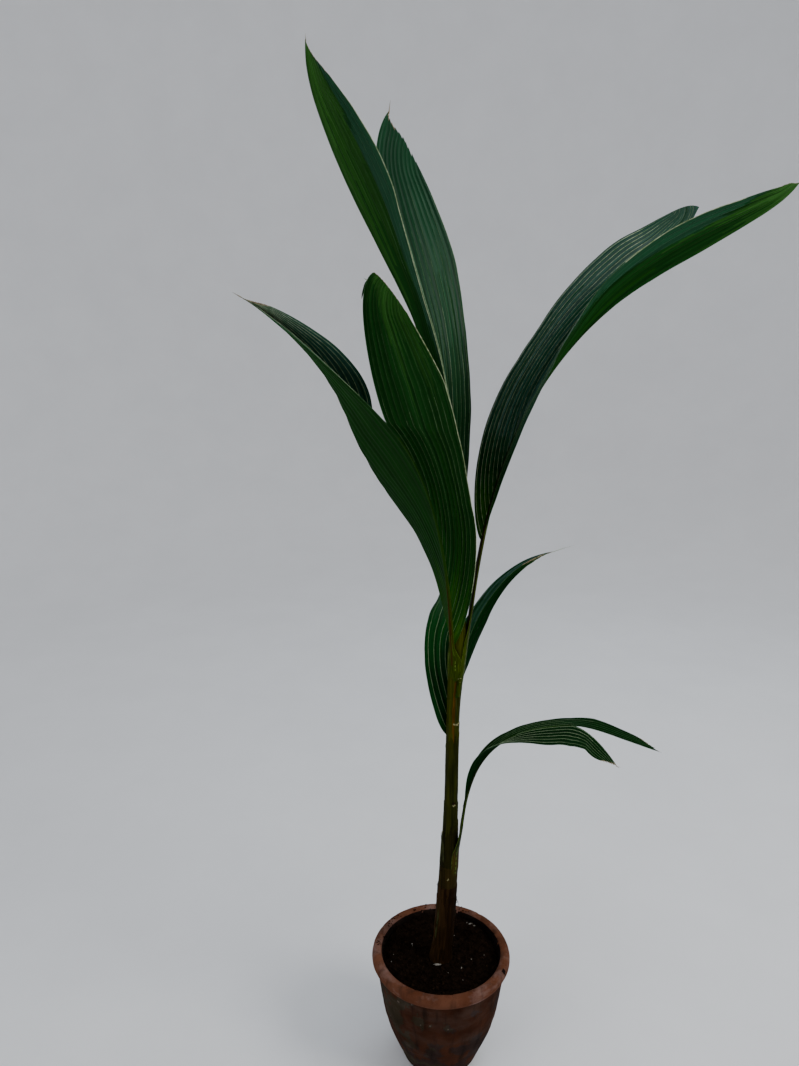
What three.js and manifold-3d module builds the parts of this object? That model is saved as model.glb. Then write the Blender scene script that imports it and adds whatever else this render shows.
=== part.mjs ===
// A young coconut palm in a round clay pot: pot, soil, stem and five leaves, each leaf a stalk
// with a rib and two blade halves that part at a notch. Millimetres, +Z up. The origin is the
// middle of the pot's underside, and a viewer in front stands on -Y with +X to the right.
import * as THREE from "three";
import { mergeVertices } from "three/addons/utils/BufferGeometryUtils.js";
import Module from "manifold-3d";

const wasm = await Module();
wasm.setup();

// Clearance that neighbouring solids keep, and the distance under which two vertices are one.
const GAP = 0.3;
const MERGE = 1e-3;

// Pot: a turned clay pot 300 mm across its rolled rim.
const POT = {
  height: 270,
  rimRadius: 150,
  rimDepth: 30,
  rimRound: 11,
  mouthRadius: 126,
  neckRadius: 138,
  shoulderHeight: 180,
  shoulderRadius: 137,
  bellyHeight: 95,
  bellyRadius: 115,
  footRadius: 80,
  bulge: { radius: 132, height: 150 },
  rimSlope: 3,
  wall: 12,
  floor: 15,
  curveSteps: 3,
  sides: 36,
};

// Soil fills the pot to just below the rim and rises by rise round the stem, within heapRadius.
const SOIL = { top: 245, rise: 4, heapRadius: 31, sides: 36 };

// Stem: centre line and diameter by height above the pot's underside.
const STEM = {
  heights: [SOIL.top + SOIL.rise, 300, 400, 480, 620, 770, 860, 940, 1000],
  leanX: [0, 5, 11, 14.5, 16.5, 17.5, 19, 23, 26],
  diameters: [46, 40, 41, 38, 30, 26, 28, 33, 38],
  sides: 12,
};

// Leaves. rib is the cubic curve of stalk and rib, from the stem to the notch. A half leaves the
// notch along the rib for run, is pulled towards pull and ends at tip. width is the half's greatest
// width, at share widest of its length; swell and taper shape its outline before and after that.
// fold is the angle in degrees between the half and the flat leaf, at its foot, notch and tip.
// A gutter turns the outer part of a half up along a line that crosses the half from share
// across[0] to across[1] while the length goes from share along[0] to along[1].
const LEAVES = {
  tall: {
    azimuth: 150,
    bladeStart: 0.1,
    notchShare: 0.52,
    stalk: [8, 3],
    rib: [[25, 5, 1000], [10, 10, 1145], [-35, 45, 1525], [-65, 65, 1600]],
    left: {
      run: 100, pull: [-265, 125, 1940], tip: [-260, 150, 2085],
      width: 133, widest: 0.7, swell: 1.05, taper: 1.05, fold: [70, 49, 70],
    },
    right: {
      run: 105, pull: [-170, 150, 1895], tip: [-110, 190, 1975],
      width: 130, widest: 0.6, swell: 1.3, taper: 0.75, fold: [48, 26, 48],
    },
  },
  front: {
    azimuth: 240,
    bladeStart: 0.06,
    notchShare: 0.5,
    stalk: [7, 3],
    rib: [[15, -12, 948], [5, -30, 1108], [-16, -112, 1317], [-108, -186, 1433]],
    left: {
      run: 24, pull: [-170, -183, 1646], tip: [-129, -271, 1667],
      width: 107, widest: 0.64, swell: 0.7, taper: 0.8, fold: [31, 11, 7],
    },
    right: {
      run: 42, pull: [-267, -182, 1593], tip: [-342, -172, 1634],
      width: 187, widest: 0.43, swell: 0.86, taper: 1.1, fold: [48, 22, 36],
      gutter: { across: [1, 0.25], along: [0.29, 1.05], turn: 150, from: 0.22, over: 0.25 },
    },
  },
  right: {
    azimuth: 15,
    bladeStart: 0.3,
    notchShare: 0.5,
    stalk: [8, 3],
    rib: [[45, 0, 985], [60, 0, 1180], [90, 50, 1475], [350, 80, 1650]],
    left: {
      run: 90, pull: [415, 150, 1675], tip: [475, 145, 1800],
      width: 109, widest: 0.55, swell: 0.7, taper: 0.5, fold: [46, 46, 52],
    },
    right: {
      run: 95, pull: [600, 105, 1780], tip: [650, 125, 1840],
      width: 121, widest: 0.5, swell: 1.3, taper: 0.7, fold: [10, 50, 39],
    },
  },
  back: {
    azimuth: 62,
    bladeStart: 0.1,
    notchShare: 0.55,
    stalk: [5, 2.5],
    rib: [[15, 12, 750], [15, 13, 810], [0, 66, 930], [37, 123, 962]],
    left: {
      run: 45, pull: [35, 235, 990], tip: [20, 300, 1030],
      width: 70, widest: 0.5, swell: 0.5, taper: 0.85, fold: [73, 39, 20],
    },
    right: {
      run: 45, pull: [115, 200, 1090], tip: [240, 180, 1115],
      width: 90, widest: 0.5, swell: 1, taper: 0.75, fold: [26, 12, 18],
      gutter: { across: [0.45, 0.7], along: [0, 1], turn: 90, from: -0.5, over: 0.3 },
    },
  },
  low: {
    azimuth: 5,
    bladeStart: 0.22,
    notchShare: 0.55,
    stalk: [6, 2.5],
    splitAt: 0.36,
    rib: [[30, -5, 515], [50, -10, 675], [55, 25, 780], [260, 20, 790]],
    left: {
      run: 40, pull: [395, 75, 725], tip: [465, 85, 695],
      width: 52, widest: 0.6, swell: 1.35, taper: 0.5, fold: [57, 6, 8],
    },
    right: {
      run: 25, pull: [325, 15, 755], tip: [340, -55, 740],
      width: 98, widest: 0.6, swell: 1.05, taper: 0.9, fold: [84, 16, -6],
    },
  },
};

// The blade is a thin slab in steps along it and strips across it. bend is the share of the width
// over which a gutter turns. The margin is smoothed over smoothing of the length, and near the
// ends over endSmoothing of what is left. Sections stand square to the spine, from share spineFrom
// of it onward over spineSpan.
const BLADE = {
  thickness: 2.4,
  leastWidth: 3,
  steps: 14,
  leastSteps: 4,
  strips: 4,
  gutterStrips: 8,
  bend: 0.25,
  smoothing: 0.22,
  endSmoothing: 0.6,
  spineFrom: 0.04,
  spineSpan: 0.9,
};

const RIB = { steps: 12, leastSteps: 3, sides: 8 };

const COLOURS = {
  clay: { color: 0x9c5a44, roughness: 0.9 },
  soil: { color: 0x1f1712, roughness: 1 },
  stem: { color: 0x5c5a2c, roughness: 0.6 },
  rib: { color: 0x6f7a2e, roughness: 0.5 },
  blade: { color: 0x1d4a24, roughness: 0.4 },
};

const clamp01 = (x) => Math.min(1, Math.max(0, x));
const smooth = (x) => clamp01(x) ** 2 * (3 - 2 * clamp01(x));
const radians = (degrees) => (degrees * Math.PI) / 180;
const vector = (p) => new THREE.Vector3(...p);

// A number that follows a list of values over a list of places.
function along(places, values, at) {
  const last = places.length - 1;
  if (at >= places[last]) {
    return values[last];
  }
  const i = Math.max(0, places.findIndex((place) => place > at) - 1);
  const share = clamp01((at - places[i]) / (places[i + 1] - places[i]));
  return values[i] + (values[i + 1] - values[i]) * share;
}

const curve = (points) => new THREE.CubicBezierCurve3(...points);

// The curves of a leaf: its rib, and for each half the free margin from notch to tip and the
// spine that the half's width stands across.
function leafCurves(leaf) {
  const rib = curve(leaf.rib.map(vector));
  const notch = rib.v3;
  const heading = notch.clone().sub(rib.v2).normalize();
  const halves = {};
  for (const side of ["left", "right"]) {
    const half = leaf[side];
    const pull = vector(half.pull);
    const tip = vector(half.tip);
    halves[side] = {
      margin: curve([notch, notch.clone().addScaledVector(heading, half.run), pull, tip]),
      spine: curve([rib.getPoint(leaf.bladeStart), rib.v2, pull, tip]),
    };
  }
  return { rib, halves };
}

// A half's inner edge at share v of its length: the rib up to the notch, then the free margin.
function innerEdge(leaf, curves, side, v) {
  if (v <= leaf.notchShare) {
    const share = leaf.bladeStart + (1 - leaf.bladeStart) * (v / leaf.notchShare);
    return curves.rib.getPoint(share);
  }
  return curves.halves[side].margin.getPoint((v - leaf.notchShare) / (1 - leaf.notchShare));
}

// The inner edge averaged over a stretch that closes up at both ends, so that the outer margin
// runs past the notch without a kink.
function smoothedEdge(leaf, curves, side, v) {
  const reach = Math.min(BLADE.smoothing, BLADE.endSmoothing * Math.min(v, 1 - v));
  const sum = new THREE.Vector3();
  const taps = [-1, -0.5, 0, 0.5, 1];
  for (const tap of taps) {
    sum.add(innerEdge(leaf, curves, side, v + tap * reach));
  }
  return sum.divideScalar(taps.length);
}

function halfWidth(half, v) {
  const share =
    v < half.widest
      ? Math.sin((Math.PI / 2) * (v / half.widest)) ** half.swell
      : Math.cos((Math.PI / 2) * ((v - half.widest) / (1 - half.widest))) ** half.taper;
  return Math.max(BLADE.leastWidth, half.width * share);
}

function foldAngle(leaf, half, v) {
  const [foot, notch, tip] = half.fold;
  const n = leaf.notchShare;
  const degrees =
    v < n
      ? foot + (notch - foot) * smooth(v / n)
      : notch + (tip - notch) * smooth((v - n) / (1 - n));
  return radians(degrees);
}

// One line of points across a half at share v, from the inner edge to the outer margin.
function sectionAt(leaf, curves, side, v, strips) {
  const half = leaf[side];
  const sign = side === "left" ? 1 : -1;
  const azimuth = radians(leaf.azimuth);
  const tangent = curves.halves[side].spine.getTangent(BLADE.spineFrom + BLADE.spineSpan * v);
  const sideways = new THREE.Vector3(-Math.sin(azimuth), Math.cos(azimuth), 0);
  sideways.addScaledVector(tangent, -tangent.dot(sideways)).normalize();
  const upward = tangent.clone().cross(sideways);
  const fold = foldAngle(leaf, half, v);
  const inner = innerEdge(leaf, curves, side, v);
  const across = sideways
    .multiplyScalar(sign * Math.cos(fold))
    .addScaledVector(upward, Math.sin(fold))
    .multiplyScalar(halfWidth(half, v))
    .add(smoothedEdge(leaf, curves, side, v))
    .sub(inner);
  const width = across.length();
  across.normalize();
  const face = tangent.cross(across).multiplyScalar(sign).normalize();
  const gutter = half.gutter;
  const line = gutter ? along(gutter.along, gutter.across, v) : 1;
  const turn = gutter ? radians(gutter.turn) * smooth((v - gutter.from) / gutter.over) : 0;
  const points = [inner.clone()];
  const at = inner.clone();
  for (let i = 0; i < strips; i += 1) {
    const middle = (i + 0.5) / strips;
    const angle = turn * smooth((middle - line) / BLADE.bend + 0.5);
    at.addScaledVector(across, (Math.cos(angle) * width) / strips);
    at.addScaledVector(face, (Math.sin(angle) * width) / strips);
    points.push(at.clone());
  }
  return points;
}

function geometryOf(points, faces) {
  const positions = new Float32Array(points.length * 3);
  points.forEach((p, i) => positions.set([p.x, p.y, p.z], 3 * i));
  const geometry = new THREE.BufferGeometry();
  geometry.setAttribute("position", new THREE.BufferAttribute(positions, 3));
  geometry.setIndex(faces.flat());
  return geometry;
}

// Moves the border of a grid outward by extra.
function widened(grid, extra) {
  const away = (p, neighbour) =>
    p.clone().add(p.clone().sub(neighbour).normalize().multiplyScalar(extra));
  const wide = grid.map((row) => {
    const last = row.length - 1;
    return [away(row[0], row[1]), ...row.slice(1, last), away(row[last], row[last - 1])];
  });
  const end = wide.length - 1;
  const first = wide[0].map((p, j) => away(p, wide[1][j]));
  const final = wide[end].map((p, j) => away(p, wide[end - 1][j]));
  return [first, ...wide.slice(1, end), final];
}

// A closed slab round a grid of points: rows run along the blade and columns across it.
function slab(grid, thickness, outward) {
  const rows = grid.length;
  const columns = grid[0].length;
  const normals = grid.map((row, i) =>
    row.map((_, j) => {
      const down = grid[Math.min(rows - 1, i + 1)][j].clone().sub(grid[Math.max(0, i - 1)][j]);
      const over = row[Math.min(columns - 1, j + 1)].clone().sub(row[Math.max(0, j - 1)]);
      return down.cross(over).normalize().multiplyScalar(outward);
    }),
  );
  const layer = (height) =>
    grid.flatMap((row, i) =>
      row.map((p, j) => p.clone().addScaledVector(normals[i][j], height)),
    );
  const points = [...layer(thickness / 2), ...layer(-thickness / 2)];
  const index = (i, j, under) => i * columns + j + (under ? rows * columns : 0);
  const faces = [];
  const quad = (a, b, c, d) => {
    faces.push([a, b, c], [a, c, d]);
  };
  for (let i = 0; i + 1 < rows; i += 1) {
    for (let j = 0; j + 1 < columns; j += 1) {
      quad(index(i, j), index(i + 1, j), index(i + 1, j + 1), index(i, j + 1));
      const under = [[i, j], [i, j + 1], [i + 1, j + 1], [i + 1, j]];
      quad(...under.map(([row, column]) => index(row, column, true)));
    }
  }
  const ring = [];
  for (let j = 0; j < columns; j += 1) {
    ring.push([0, j]);
  }
  for (let i = 1; i < rows; i += 1) {
    ring.push([i, columns - 1]);
  }
  for (let j = columns - 2; j >= 0; j -= 1) {
    ring.push([rows - 1, j]);
  }
  for (let i = rows - 2; i > 0; i -= 1) {
    ring.push([i, 0]);
  }
  ring.forEach(([i, j], k) => {
    const [m, n] = ring[(k + 1) % ring.length];
    quad(index(i, j), index(m, n), index(m, n, true), index(i, j, true));
  });
  if (outward < 0) {
    faces.forEach((face) => face.reverse());
  }
  return geometryOf(points, faces);
}

// A closed tube through rings of points, each ring in the same order round the tube.
function loft(rings) {
  const sides = rings[0].length;
  const points = rings.flat();
  const faces = [];
  for (let i = 0; i + 1 < rings.length; i += 1) {
    for (let k = 0; k < sides; k += 1) {
      const next = (k + 1) % sides;
      const a = i * sides + k;
      const b = i * sides + next;
      faces.push([a, b, b + sides], [a, b + sides, a + sides]);
    }
  }
  const top = (rings.length - 1) * sides;
  for (let k = 1; k + 1 < sides; k += 1) {
    faces.push([0, k + 1, k], [top, top + k, top + k + 1]);
  }
  return geometryOf(points, faces);
}

function ringAt(centre, tangent, radius, sides) {
  const right = new THREE.Vector3(0, 1, 0).cross(tangent).normalize();
  const front = tangent.clone().cross(right);
  return Array.from({ length: sides }, (_, k) => {
    const angle = (2 * Math.PI * k) / sides;
    return centre
      .clone()
      .addScaledVector(right, radius * Math.cos(angle))
      .addScaledVector(front, radius * Math.sin(angle));
  });
}

function potGeometry() {
  const p = POT;
  const profile = new THREE.Path();
  profile.moveTo(0, 0);
  const rimFoot = p.height - p.rimDepth;
  const lowEdge = rimFoot + p.rimSlope;
  profile.lineTo(p.footRadius, 0);
  profile.lineTo(p.bellyRadius, p.bellyHeight);
  profile.quadraticCurveTo(p.bulge.radius, p.bulge.height, p.neckRadius, rimFoot);
  profile.lineTo(p.rimRadius - p.rimRound / 2, lowEdge);
  profile.quadraticCurveTo(p.rimRadius, lowEdge, p.rimRadius, p.height - p.rimRound);
  profile.quadraticCurveTo(p.rimRadius, p.height, p.rimRadius - p.rimRound, p.height);
  profile.lineTo(p.mouthRadius + p.rimRound / 2, p.height);
  profile.quadraticCurveTo(p.mouthRadius, p.height, p.mouthRadius, p.height - p.rimRound);
  profile.lineTo(p.shoulderRadius - p.wall, p.shoulderHeight);
  profile.lineTo(p.bellyRadius - p.wall, p.bellyHeight);
  profile.lineTo(p.footRadius - p.wall, p.floor);
  profile.lineTo(0, p.floor);
  return new THREE.LatheGeometry(profile.getPoints(p.curveSteps), p.sides);
}

// The soil lies against the pot's inner wall, with a slight rise round the stem.
function soilGeometry() {
  const p = POT;
  const inner = (height) =>
    along(
      [p.floor, p.bellyHeight, p.shoulderHeight, p.height - p.rimRound],
      [p.footRadius - p.wall, p.bellyRadius - p.wall, p.shoulderRadius - p.wall, p.mouthRadius],
      height,
    );
  const profile = [new THREE.Vector2(0, p.floor + GAP)];
  for (const height of [p.floor + GAP, p.bellyHeight, p.shoulderHeight, SOIL.top]) {
    profile.push(new THREE.Vector2(inner(height) - 2 * GAP, height));
  }
  profile.push(new THREE.Vector2(SOIL.heapRadius, SOIL.top + SOIL.rise));
  profile.push(new THREE.Vector2(0, SOIL.top + SOIL.rise));
  return new THREE.LatheGeometry(profile, SOIL.sides);
}

function stemGeometry(extra) {
  const foot = STEM.heights[0] + GAP;
  const rings = STEM.heights.map((height, i) => {
    const centre = new THREE.Vector3(STEM.leanX[i], 0, i === 0 ? foot : height);
    return ringAt(centre, new THREE.Vector3(0, 0, 1), STEM.diameters[i] / 2 + extra, STEM.sides);
  });
  rings[rings.length - 1].forEach((p) => p.setZ(p.z + extra));
  return loft(rings);
}

function ribGeometry(leaf, from, to, extra) {
  const { rib } = leafCurves(leaf);
  const rings = [];
  const steps = Math.max(RIB.leastSteps, Math.round(RIB.steps * (to - from)));
  for (let i = 0; i <= steps; i += 1) {
    const t = from + ((to - from) * i) / steps;
    const radius = leaf.stalk[0] + (leaf.stalk[1] - leaf.stalk[0]) * t;
    rings.push(ringAt(rib.getPoint(t), rib.getTangent(t), radius + extra, RIB.sides));
  }
  return loft(rings);
}

function bladeGeometry(leaf, side, from, to, extra) {
  const curves = leafCurves(leaf);
  const strips = leaf[side].gutter ? BLADE.gutterStrips : BLADE.strips;
  const steps = Math.max(BLADE.leastSteps, Math.round(BLADE.steps * (to - from)));
  const grid = [];
  for (let i = 0; i <= steps; i += 1) {
    const v = from + ((to - from) * i) / steps;
    grid.push(sectionAt(leaf, curves, side, v, strips));
  }
  const outline = extra > 0 ? widened(grid, extra) : grid;
  return slab(outline, BLADE.thickness + 2 * extra, side === "left" ? -1 : 1);
}

function toSolid(geometry) {
  const bare = geometry.clone();
  bare.deleteAttribute("normal");
  bare.deleteAttribute("uv");
  const merged = mergeVertices(bare, MERGE);
  return new wasm.Manifold(
    new wasm.Mesh({
      numProp: 3,
      vertProperties: new Float32Array(merged.attributes.position.array),
      triVerts: new Uint32Array(merged.index.array),
    }),
  );
}

function fromSolid(solid) {
  const mesh = solid.getMesh();
  const geometry = new THREE.BufferGeometry();
  geometry.setAttribute("position", new THREE.BufferAttribute(mesh.vertProperties, 3));
  geometry.setIndex(new THREE.BufferAttribute(mesh.triVerts, 1));
  geometry.computeVertexNormals();
  return geometry;
}

function largestPiece(solid) {
  const pieces = solid.decompose();
  return pieces.reduce((best, piece) => (piece.volume() > best.volume() ? piece : best));
}

// Every solid by name, in the order in which later ones make room for earlier ones. shape(extra)
// gives the solid grown by extra on every side.
const pieces = [{ name: "stem", finish: "stem", shape: stemGeometry }];
for (const [name, leaf] of Object.entries(LEAVES)) {
  if (leaf.splitAt) {
    const bend = leaf.bladeStart + ((1 - leaf.bladeStart) * leaf.splitAt) / leaf.notchShare;
    pieces.push({
      name: `${name}_leaf_stalk`,
      finish: "rib",
      shape: (extra) => ribGeometry(leaf, 0, bend, extra),
    });
    pieces.push({
      name: `${name}_leaf_rib`,
      finish: "rib",
      shape: (extra) => ribGeometry(leaf, bend, 1, extra),
    });
  } else {
    pieces.push({
      name: `${name}_leaf_rib`,
      finish: "rib",
      shape: (extra) => ribGeometry(leaf, 0, 1, extra),
    });
  }
}
for (const [name, leaf] of Object.entries(LEAVES)) {
  for (const side of ["left", "right"]) {
    const cuts = leaf.splitAt ? [0, leaf.splitAt, 1] : [0, 1];
    for (let i = 0; i + 1 < cuts.length; i += 1) {
      const place = leaf.splitAt ? ["_base", "_end"][i] : "";
      pieces.push({
        name: `${name}_leaf_${side}_blade${place}`,
        finish: "blade",
        shape: (extra) => bladeGeometry(leaf, side, cuts[i], cuts[i + 1], extra),
      });
    }
  }
}

const palm = new THREE.Group();

function addMesh(name, geometry, finish) {
  const material = new THREE.MeshStandardMaterial({ ...COLOURS[finish], metalness: 0 });
  const mesh = new THREE.Mesh(geometry, material);
  mesh.name = name;
  palm.add(mesh);
}

// A lathe turns about Y, so pot and soil are stood up about X.
for (const [name, geometry, finish] of [
  ["pot", potGeometry(), "clay"],
  ["soil", soilGeometry(), "soil"],
]) {
  geometry.rotateX(Math.PI / 2);
  addMesh(name, geometry, finish);
}

const earlier = [];
for (const piece of pieces) {
  const whole = toSolid(piece.shape(0));
  const cleared = earlier.reduce((solid, grown) => solid.subtract(grown), whole);
  addMesh(piece.name, fromSolid(largestPiece(cleared)), piece.finish);
  earlier.push(toSolid(piece.shape(GAP)));
}

export default palm;
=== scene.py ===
"""A young coconut palm in a round clay pot: pleated two-lobed leaves on ribs, a stem of wrapped
sheaths, crumbly soil and a weathered terracotta pot. Metres, +Z up; shapes are worked out in
millimetres and scaled once."""
import math

import bpy
import numpy as np
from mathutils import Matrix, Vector, noise


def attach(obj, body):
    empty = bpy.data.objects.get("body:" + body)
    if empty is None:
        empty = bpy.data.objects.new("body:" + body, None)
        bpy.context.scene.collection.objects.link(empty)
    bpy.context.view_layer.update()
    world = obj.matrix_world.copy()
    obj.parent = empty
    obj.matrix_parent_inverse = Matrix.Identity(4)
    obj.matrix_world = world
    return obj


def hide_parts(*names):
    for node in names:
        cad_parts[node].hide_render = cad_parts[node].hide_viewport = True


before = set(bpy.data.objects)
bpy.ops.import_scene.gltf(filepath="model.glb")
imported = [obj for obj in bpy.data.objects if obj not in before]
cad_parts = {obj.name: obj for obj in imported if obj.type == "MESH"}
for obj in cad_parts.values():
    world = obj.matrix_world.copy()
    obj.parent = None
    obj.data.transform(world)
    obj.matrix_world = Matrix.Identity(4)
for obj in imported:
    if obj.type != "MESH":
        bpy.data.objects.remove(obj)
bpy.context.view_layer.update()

MM = 0.001
random = np.random.default_rng(41)

# Sizes, in millimetres.

POT = {
    "profile": [
        (0, 0), (70, 0), (80, 4), (97, 47), (115, 95), (124, 130), (131, 175), (136, 215),
        (138, 236), (138.5, 240), (143, 242), (148, 244), (150, 249), (150, 255), (149.6, 262),
        (147, 267), (142, 269.6), (138, 270), (132, 269), (128.5, 266), (126.6, 261), (126, 256),
        (125.4, 235), (124.5, 200), (121, 160), (103, 95), (68, 15), (0, 15),
    ],
    "sides": 288,
    "rim": 241,
}
SOIL = {"top": 245, "rise": 4, "radius": 125, "foot": 236}
STEM = {
    "heights": [245, 262, 300, 400, 480, 620, 770, 860, 940, 1000, 1020, 1045, 1058],
    "leanX": [0, 0.8, 5, 11, 14.5, 16.5, 17.5, 19, 23, 26, 26, 25, 24],
    "diameters": [50, 46, 41, 41, 38, 30, 26, 28, 33, 36, 30, 16, 4],
}

LEAVES = {
    "tall": {
        "azimuth": 150, "bladeStart": 0.1, "notchShare": 0.52, "stalk": 8,
        "rib": [(25, 5, 1000), (10, 10, 1145), (-35, 45, 1525), (-65, 65, 1600)],
        "left": {
            "run": 100, "pull": (-265, 125, 1940), "tip": (-260, 150, 2085),
            "width": 133, "widest": 0.7, "swell": 1.05, "taper": 1.05, "fold": (70, 49, 70),
        },
        "right": {
            "run": 105, "pull": (-170, 150, 1895), "tip": (-110, 190, 1975),
            "width": 130, "widest": 0.6, "swell": 1.3, "taper": 0.75, "fold": (48, 26, 48),
        },
    },
    "front": {
        "azimuth": 240, "bladeStart": 0.06, "notchShare": 0.5, "stalk": 7,
        "rib": [(15, -12, 948), (5, -30, 1108), (-16, -112, 1317), (-108, -186, 1433)],
        "left": {
            "run": 24, "pull": (-170, -183, 1646), "tip": (-129, -271, 1667),
            "width": 107, "widest": 0.64, "swell": 0.7, "taper": 0.8, "fold": (31, 11, 7),
        },
        "right": {
            "run": 42, "pull": (-267, -182, 1593), "tip": (-342, -172, 1634),
            "width": 187, "widest": 0.43, "swell": 0.86, "taper": 1.1, "fold": (48, 22, 36),
            "gutter": {"across": (1, 0.25), "along": (0.29, 1.05), "turn": 150, "from": 0.22, "over": 0.25},
        },
    },
    "right": {
        "azimuth": 15, "bladeStart": 0.3, "notchShare": 0.5, "stalk": 8,
        "rib": [(45, 0, 985), (60, 0, 1180), (90, 50, 1475), (350, 80, 1650)],
        "left": {
            "run": 90, "pull": (415, 150, 1675), "tip": (475, 145, 1800),
            "width": 109, "widest": 0.55, "swell": 0.7, "taper": 0.5, "fold": (46, 46, 52),
        },
        "right": {
            "run": 95, "pull": (600, 105, 1780), "tip": (650, 125, 1840),
            "width": 121, "widest": 0.5, "swell": 1.3, "taper": 0.7, "fold": (10, 50, 39),
        },
    },
    "back": {
        "azimuth": 62, "bladeStart": 0.1, "notchShare": 0.55, "stalk": 5,
        "rib": [(15, 12, 750), (15, 13, 810), (0, 66, 930), (37, 123, 962)],
        "left": {
            "run": 45, "pull": (35, 235, 990), "tip": (20, 300, 1030),
            "width": 70, "widest": 0.5, "swell": 0.5, "taper": 0.85, "fold": (73, 39, 20),
        },
        "right": {
            "run": 45, "pull": (115, 200, 1090), "tip": (240, 180, 1115),
            "width": 90, "widest": 0.5, "swell": 1, "taper": 0.75, "fold": (26, 12, 18),
            "gutter": {"across": (0.45, 0.7), "along": (0, 1), "turn": 90, "from": -0.5, "over": 0.3},
        },
    },
    "low": {
        "azimuth": 5, "bladeStart": 0.22, "notchShare": 0.55, "stalk": 6,
        "rib": [(30, -5, 515), (50, -10, 675), (55, 25, 780), (260, 20, 790)],
        "left": {
            "run": 40, "pull": (395, 75, 725), "tip": (465, 85, 695),
            "width": 52, "widest": 0.6, "swell": 1.35, "taper": 0.5, "fold": (57, 6, 8),
        },
        "right": {
            "run": 25, "pull": (325, 15, 755), "tip": (340, -55, 740),
            "width": 98, "widest": 0.62, "swell": 1.5, "taper": 0.8, "fold": (84, 16, -6),
        },
    },
}

# How a half is pleated and finished. pleats: leaflets that stay joined. end: share of the length
# at which the outermost of them ends. depth: a pleat's rise over its width. step: how far one
# pleat's end stands past the next, in mm. dry: how far the ends have dried, in mm. point: how much
# the lobe narrows at its tip. dim: how much its veins fade, of three shades. upper and under: which
# of the six greens each side has at TONES_AT, set half by half to paint where light, sheen and
# shade fall on it. cord: the pale stretch of the free inner margin, or with outer that of the outer
# one, partly painted light on the edge. spikes: length and sideways lean of the dry ends at the tip,
# in mm. lined: veins that show from below, and band: a stretch of the under side in a bluish green
# of the upper side, a painted sheen, both as the share of the width from the rib, or when negative
# from the outer margin, and the stretch of the length. crest: how far the veins stand proud, in mm.
# vein: half a vein's width, in mm. bright: the stretch where the upper side's veins are nearly
# white. drift: how far the greens stray in streaks. shaded: how much darker the inner part is, a
# painted shade. bleached: the dry ends at the tip are white.
TONES_AT = [0, 0.07, 0.2, 0.5, 0.8, 0.95]
TONES = [0, 1, 2, 3, 4, 5]
LOOKS = {
    ("tall", "left"): {
        "pleats": 9, "end": 0.9, "depth": 0.14, "step": 7, "dry": 3, "point": 0.2, "dim": 0.2,
        "outer": (0.3, 0.93), "spikes": [(10, 1.5)], "lined": (-0.6, 0.2, 0.9),
        "band": (-0.34, 0.4, 0.97),
    },
    ("tall", "right"): {
        "pleats": 11, "end": 0.84, "depth": 0.05, "step": 9, "dry": 5, "point": 0.65, "dim": 0.4,
        "upper": [1, 2, 2.6, 3.6, 4, 4], "outer": (0.5, 0.8), "spikes": [(22, 1)], "drift": 0.55,
        "vein": 0.4,
    },
    ("front", "left"): {
        "pleats": 12, "end": 0.84, "depth": 0.16, "step": 1, "dry": 0, "point": 0.0, "dim": 0.2,
        "under": [0, 1, 1.8, 2.4, 3.8, 4.4], "outer": (0.12, 0.86), "spikes": [],
        "lined": (1.1, 0.03, 0.8), "shaded": 1.6,
    },
    ("front", "right"): {
        "pleats": 13, "end": 0.92, "depth": 0.06, "step": 12, "dry": 7, "point": 0.3, "dim": 0.5,
        "upper": [0, 1, 3, 4.4, 5, 5], "under": [0, 1, 2, 2.2, 3, 4], "spikes": [(14, 0)],
        "lined": (0.5, 0.74, 1.0), "vein": 0.7, "drift": 0.35, "bright": (0.56, 1.1),
    },
    ("right", "left"): {
        "pleats": 13, "end": 0.95, "depth": 0.12, "step": 0, "dry": 0, "point": 0.0, "dim": -0.8,
        "upper": [0, 0, 4.4, 5, 5, 5], "cord": (0.6, 0.8), "spikes": [], "vein": 0.75,
        "bright": (-0.1, 0.8),
    },
    ("right", "right"): {
        "pleats": 9, "end": 0.9, "depth": 0.14, "step": 3, "dry": 2, "point": 0.4, "dim": 1.0,
        "crest": 0.1, "upper": [0, 0, 4, 4.4, 5, 5], "under": [1, 2, 2, 2, 3.6, 5],
        "outer": (0.52, 0.8), "spikes": [(10, -1)], "lined": (-0.36, 0.48, 0.8),
        "band": (-0.4, 0.4, 0.84),
    },
    ("back", "left"): {
        "pleats": 5, "end": 0.9, "depth": 0.16, "step": 5, "dry": 3, "point": 0.2, "dim": -0.4,
        "upper": [1, 2, 2, 2, 3, 4], "spikes": [(8, 0)], "vein": 0.5,
    },
    ("back", "right"): {
        "pleats": 7, "end": 0.9, "depth": 0.13, "step": 6, "dry": 6, "point": 0.4, "dim": 0.9,
        "upper": [1, 2, 2, 3, 4, 5], "under": [1, 2, 2, 2, 2, 4], "spikes": [(44, 4), (26, -3)],
        "bleached": True,
    },
    ("low", "left"): {
        "pleats": 5, "end": 0.92, "depth": 0.05, "step": 8, "dry": 4, "point": 0.3, "dim": 0.6,
        "crest": 0.1, "spikes": [(10, 1)],
    },
    ("low", "right"): {
        "pleats": 6, "end": 0.92, "depth": 0.05, "step": 10, "dry": 5, "point": 0.2, "dim": -0.6,
        "crest": 0.1, "spikes": [(7, 0), (5, -5)],
    },
}

# Every blade's thickness and least width in mm, and as shares of its width and length how wide a
# gutter's bend is and how far the inner edge is smoothed.
BLADE = {"thickness": 0.7, "least": 3, "bend": 0.25, "smoothing": 0.22}


# Small maths.

def unit(v):
    return v / np.maximum(np.linalg.norm(v, axis=-1, keepdims=True), 1e-9)


def smooth(x):
    x = np.clip(x, 0, 1)
    return x * x * (3 - 2 * x)


def mixed(a, b, share):
    return a + (b - a) * share


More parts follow.
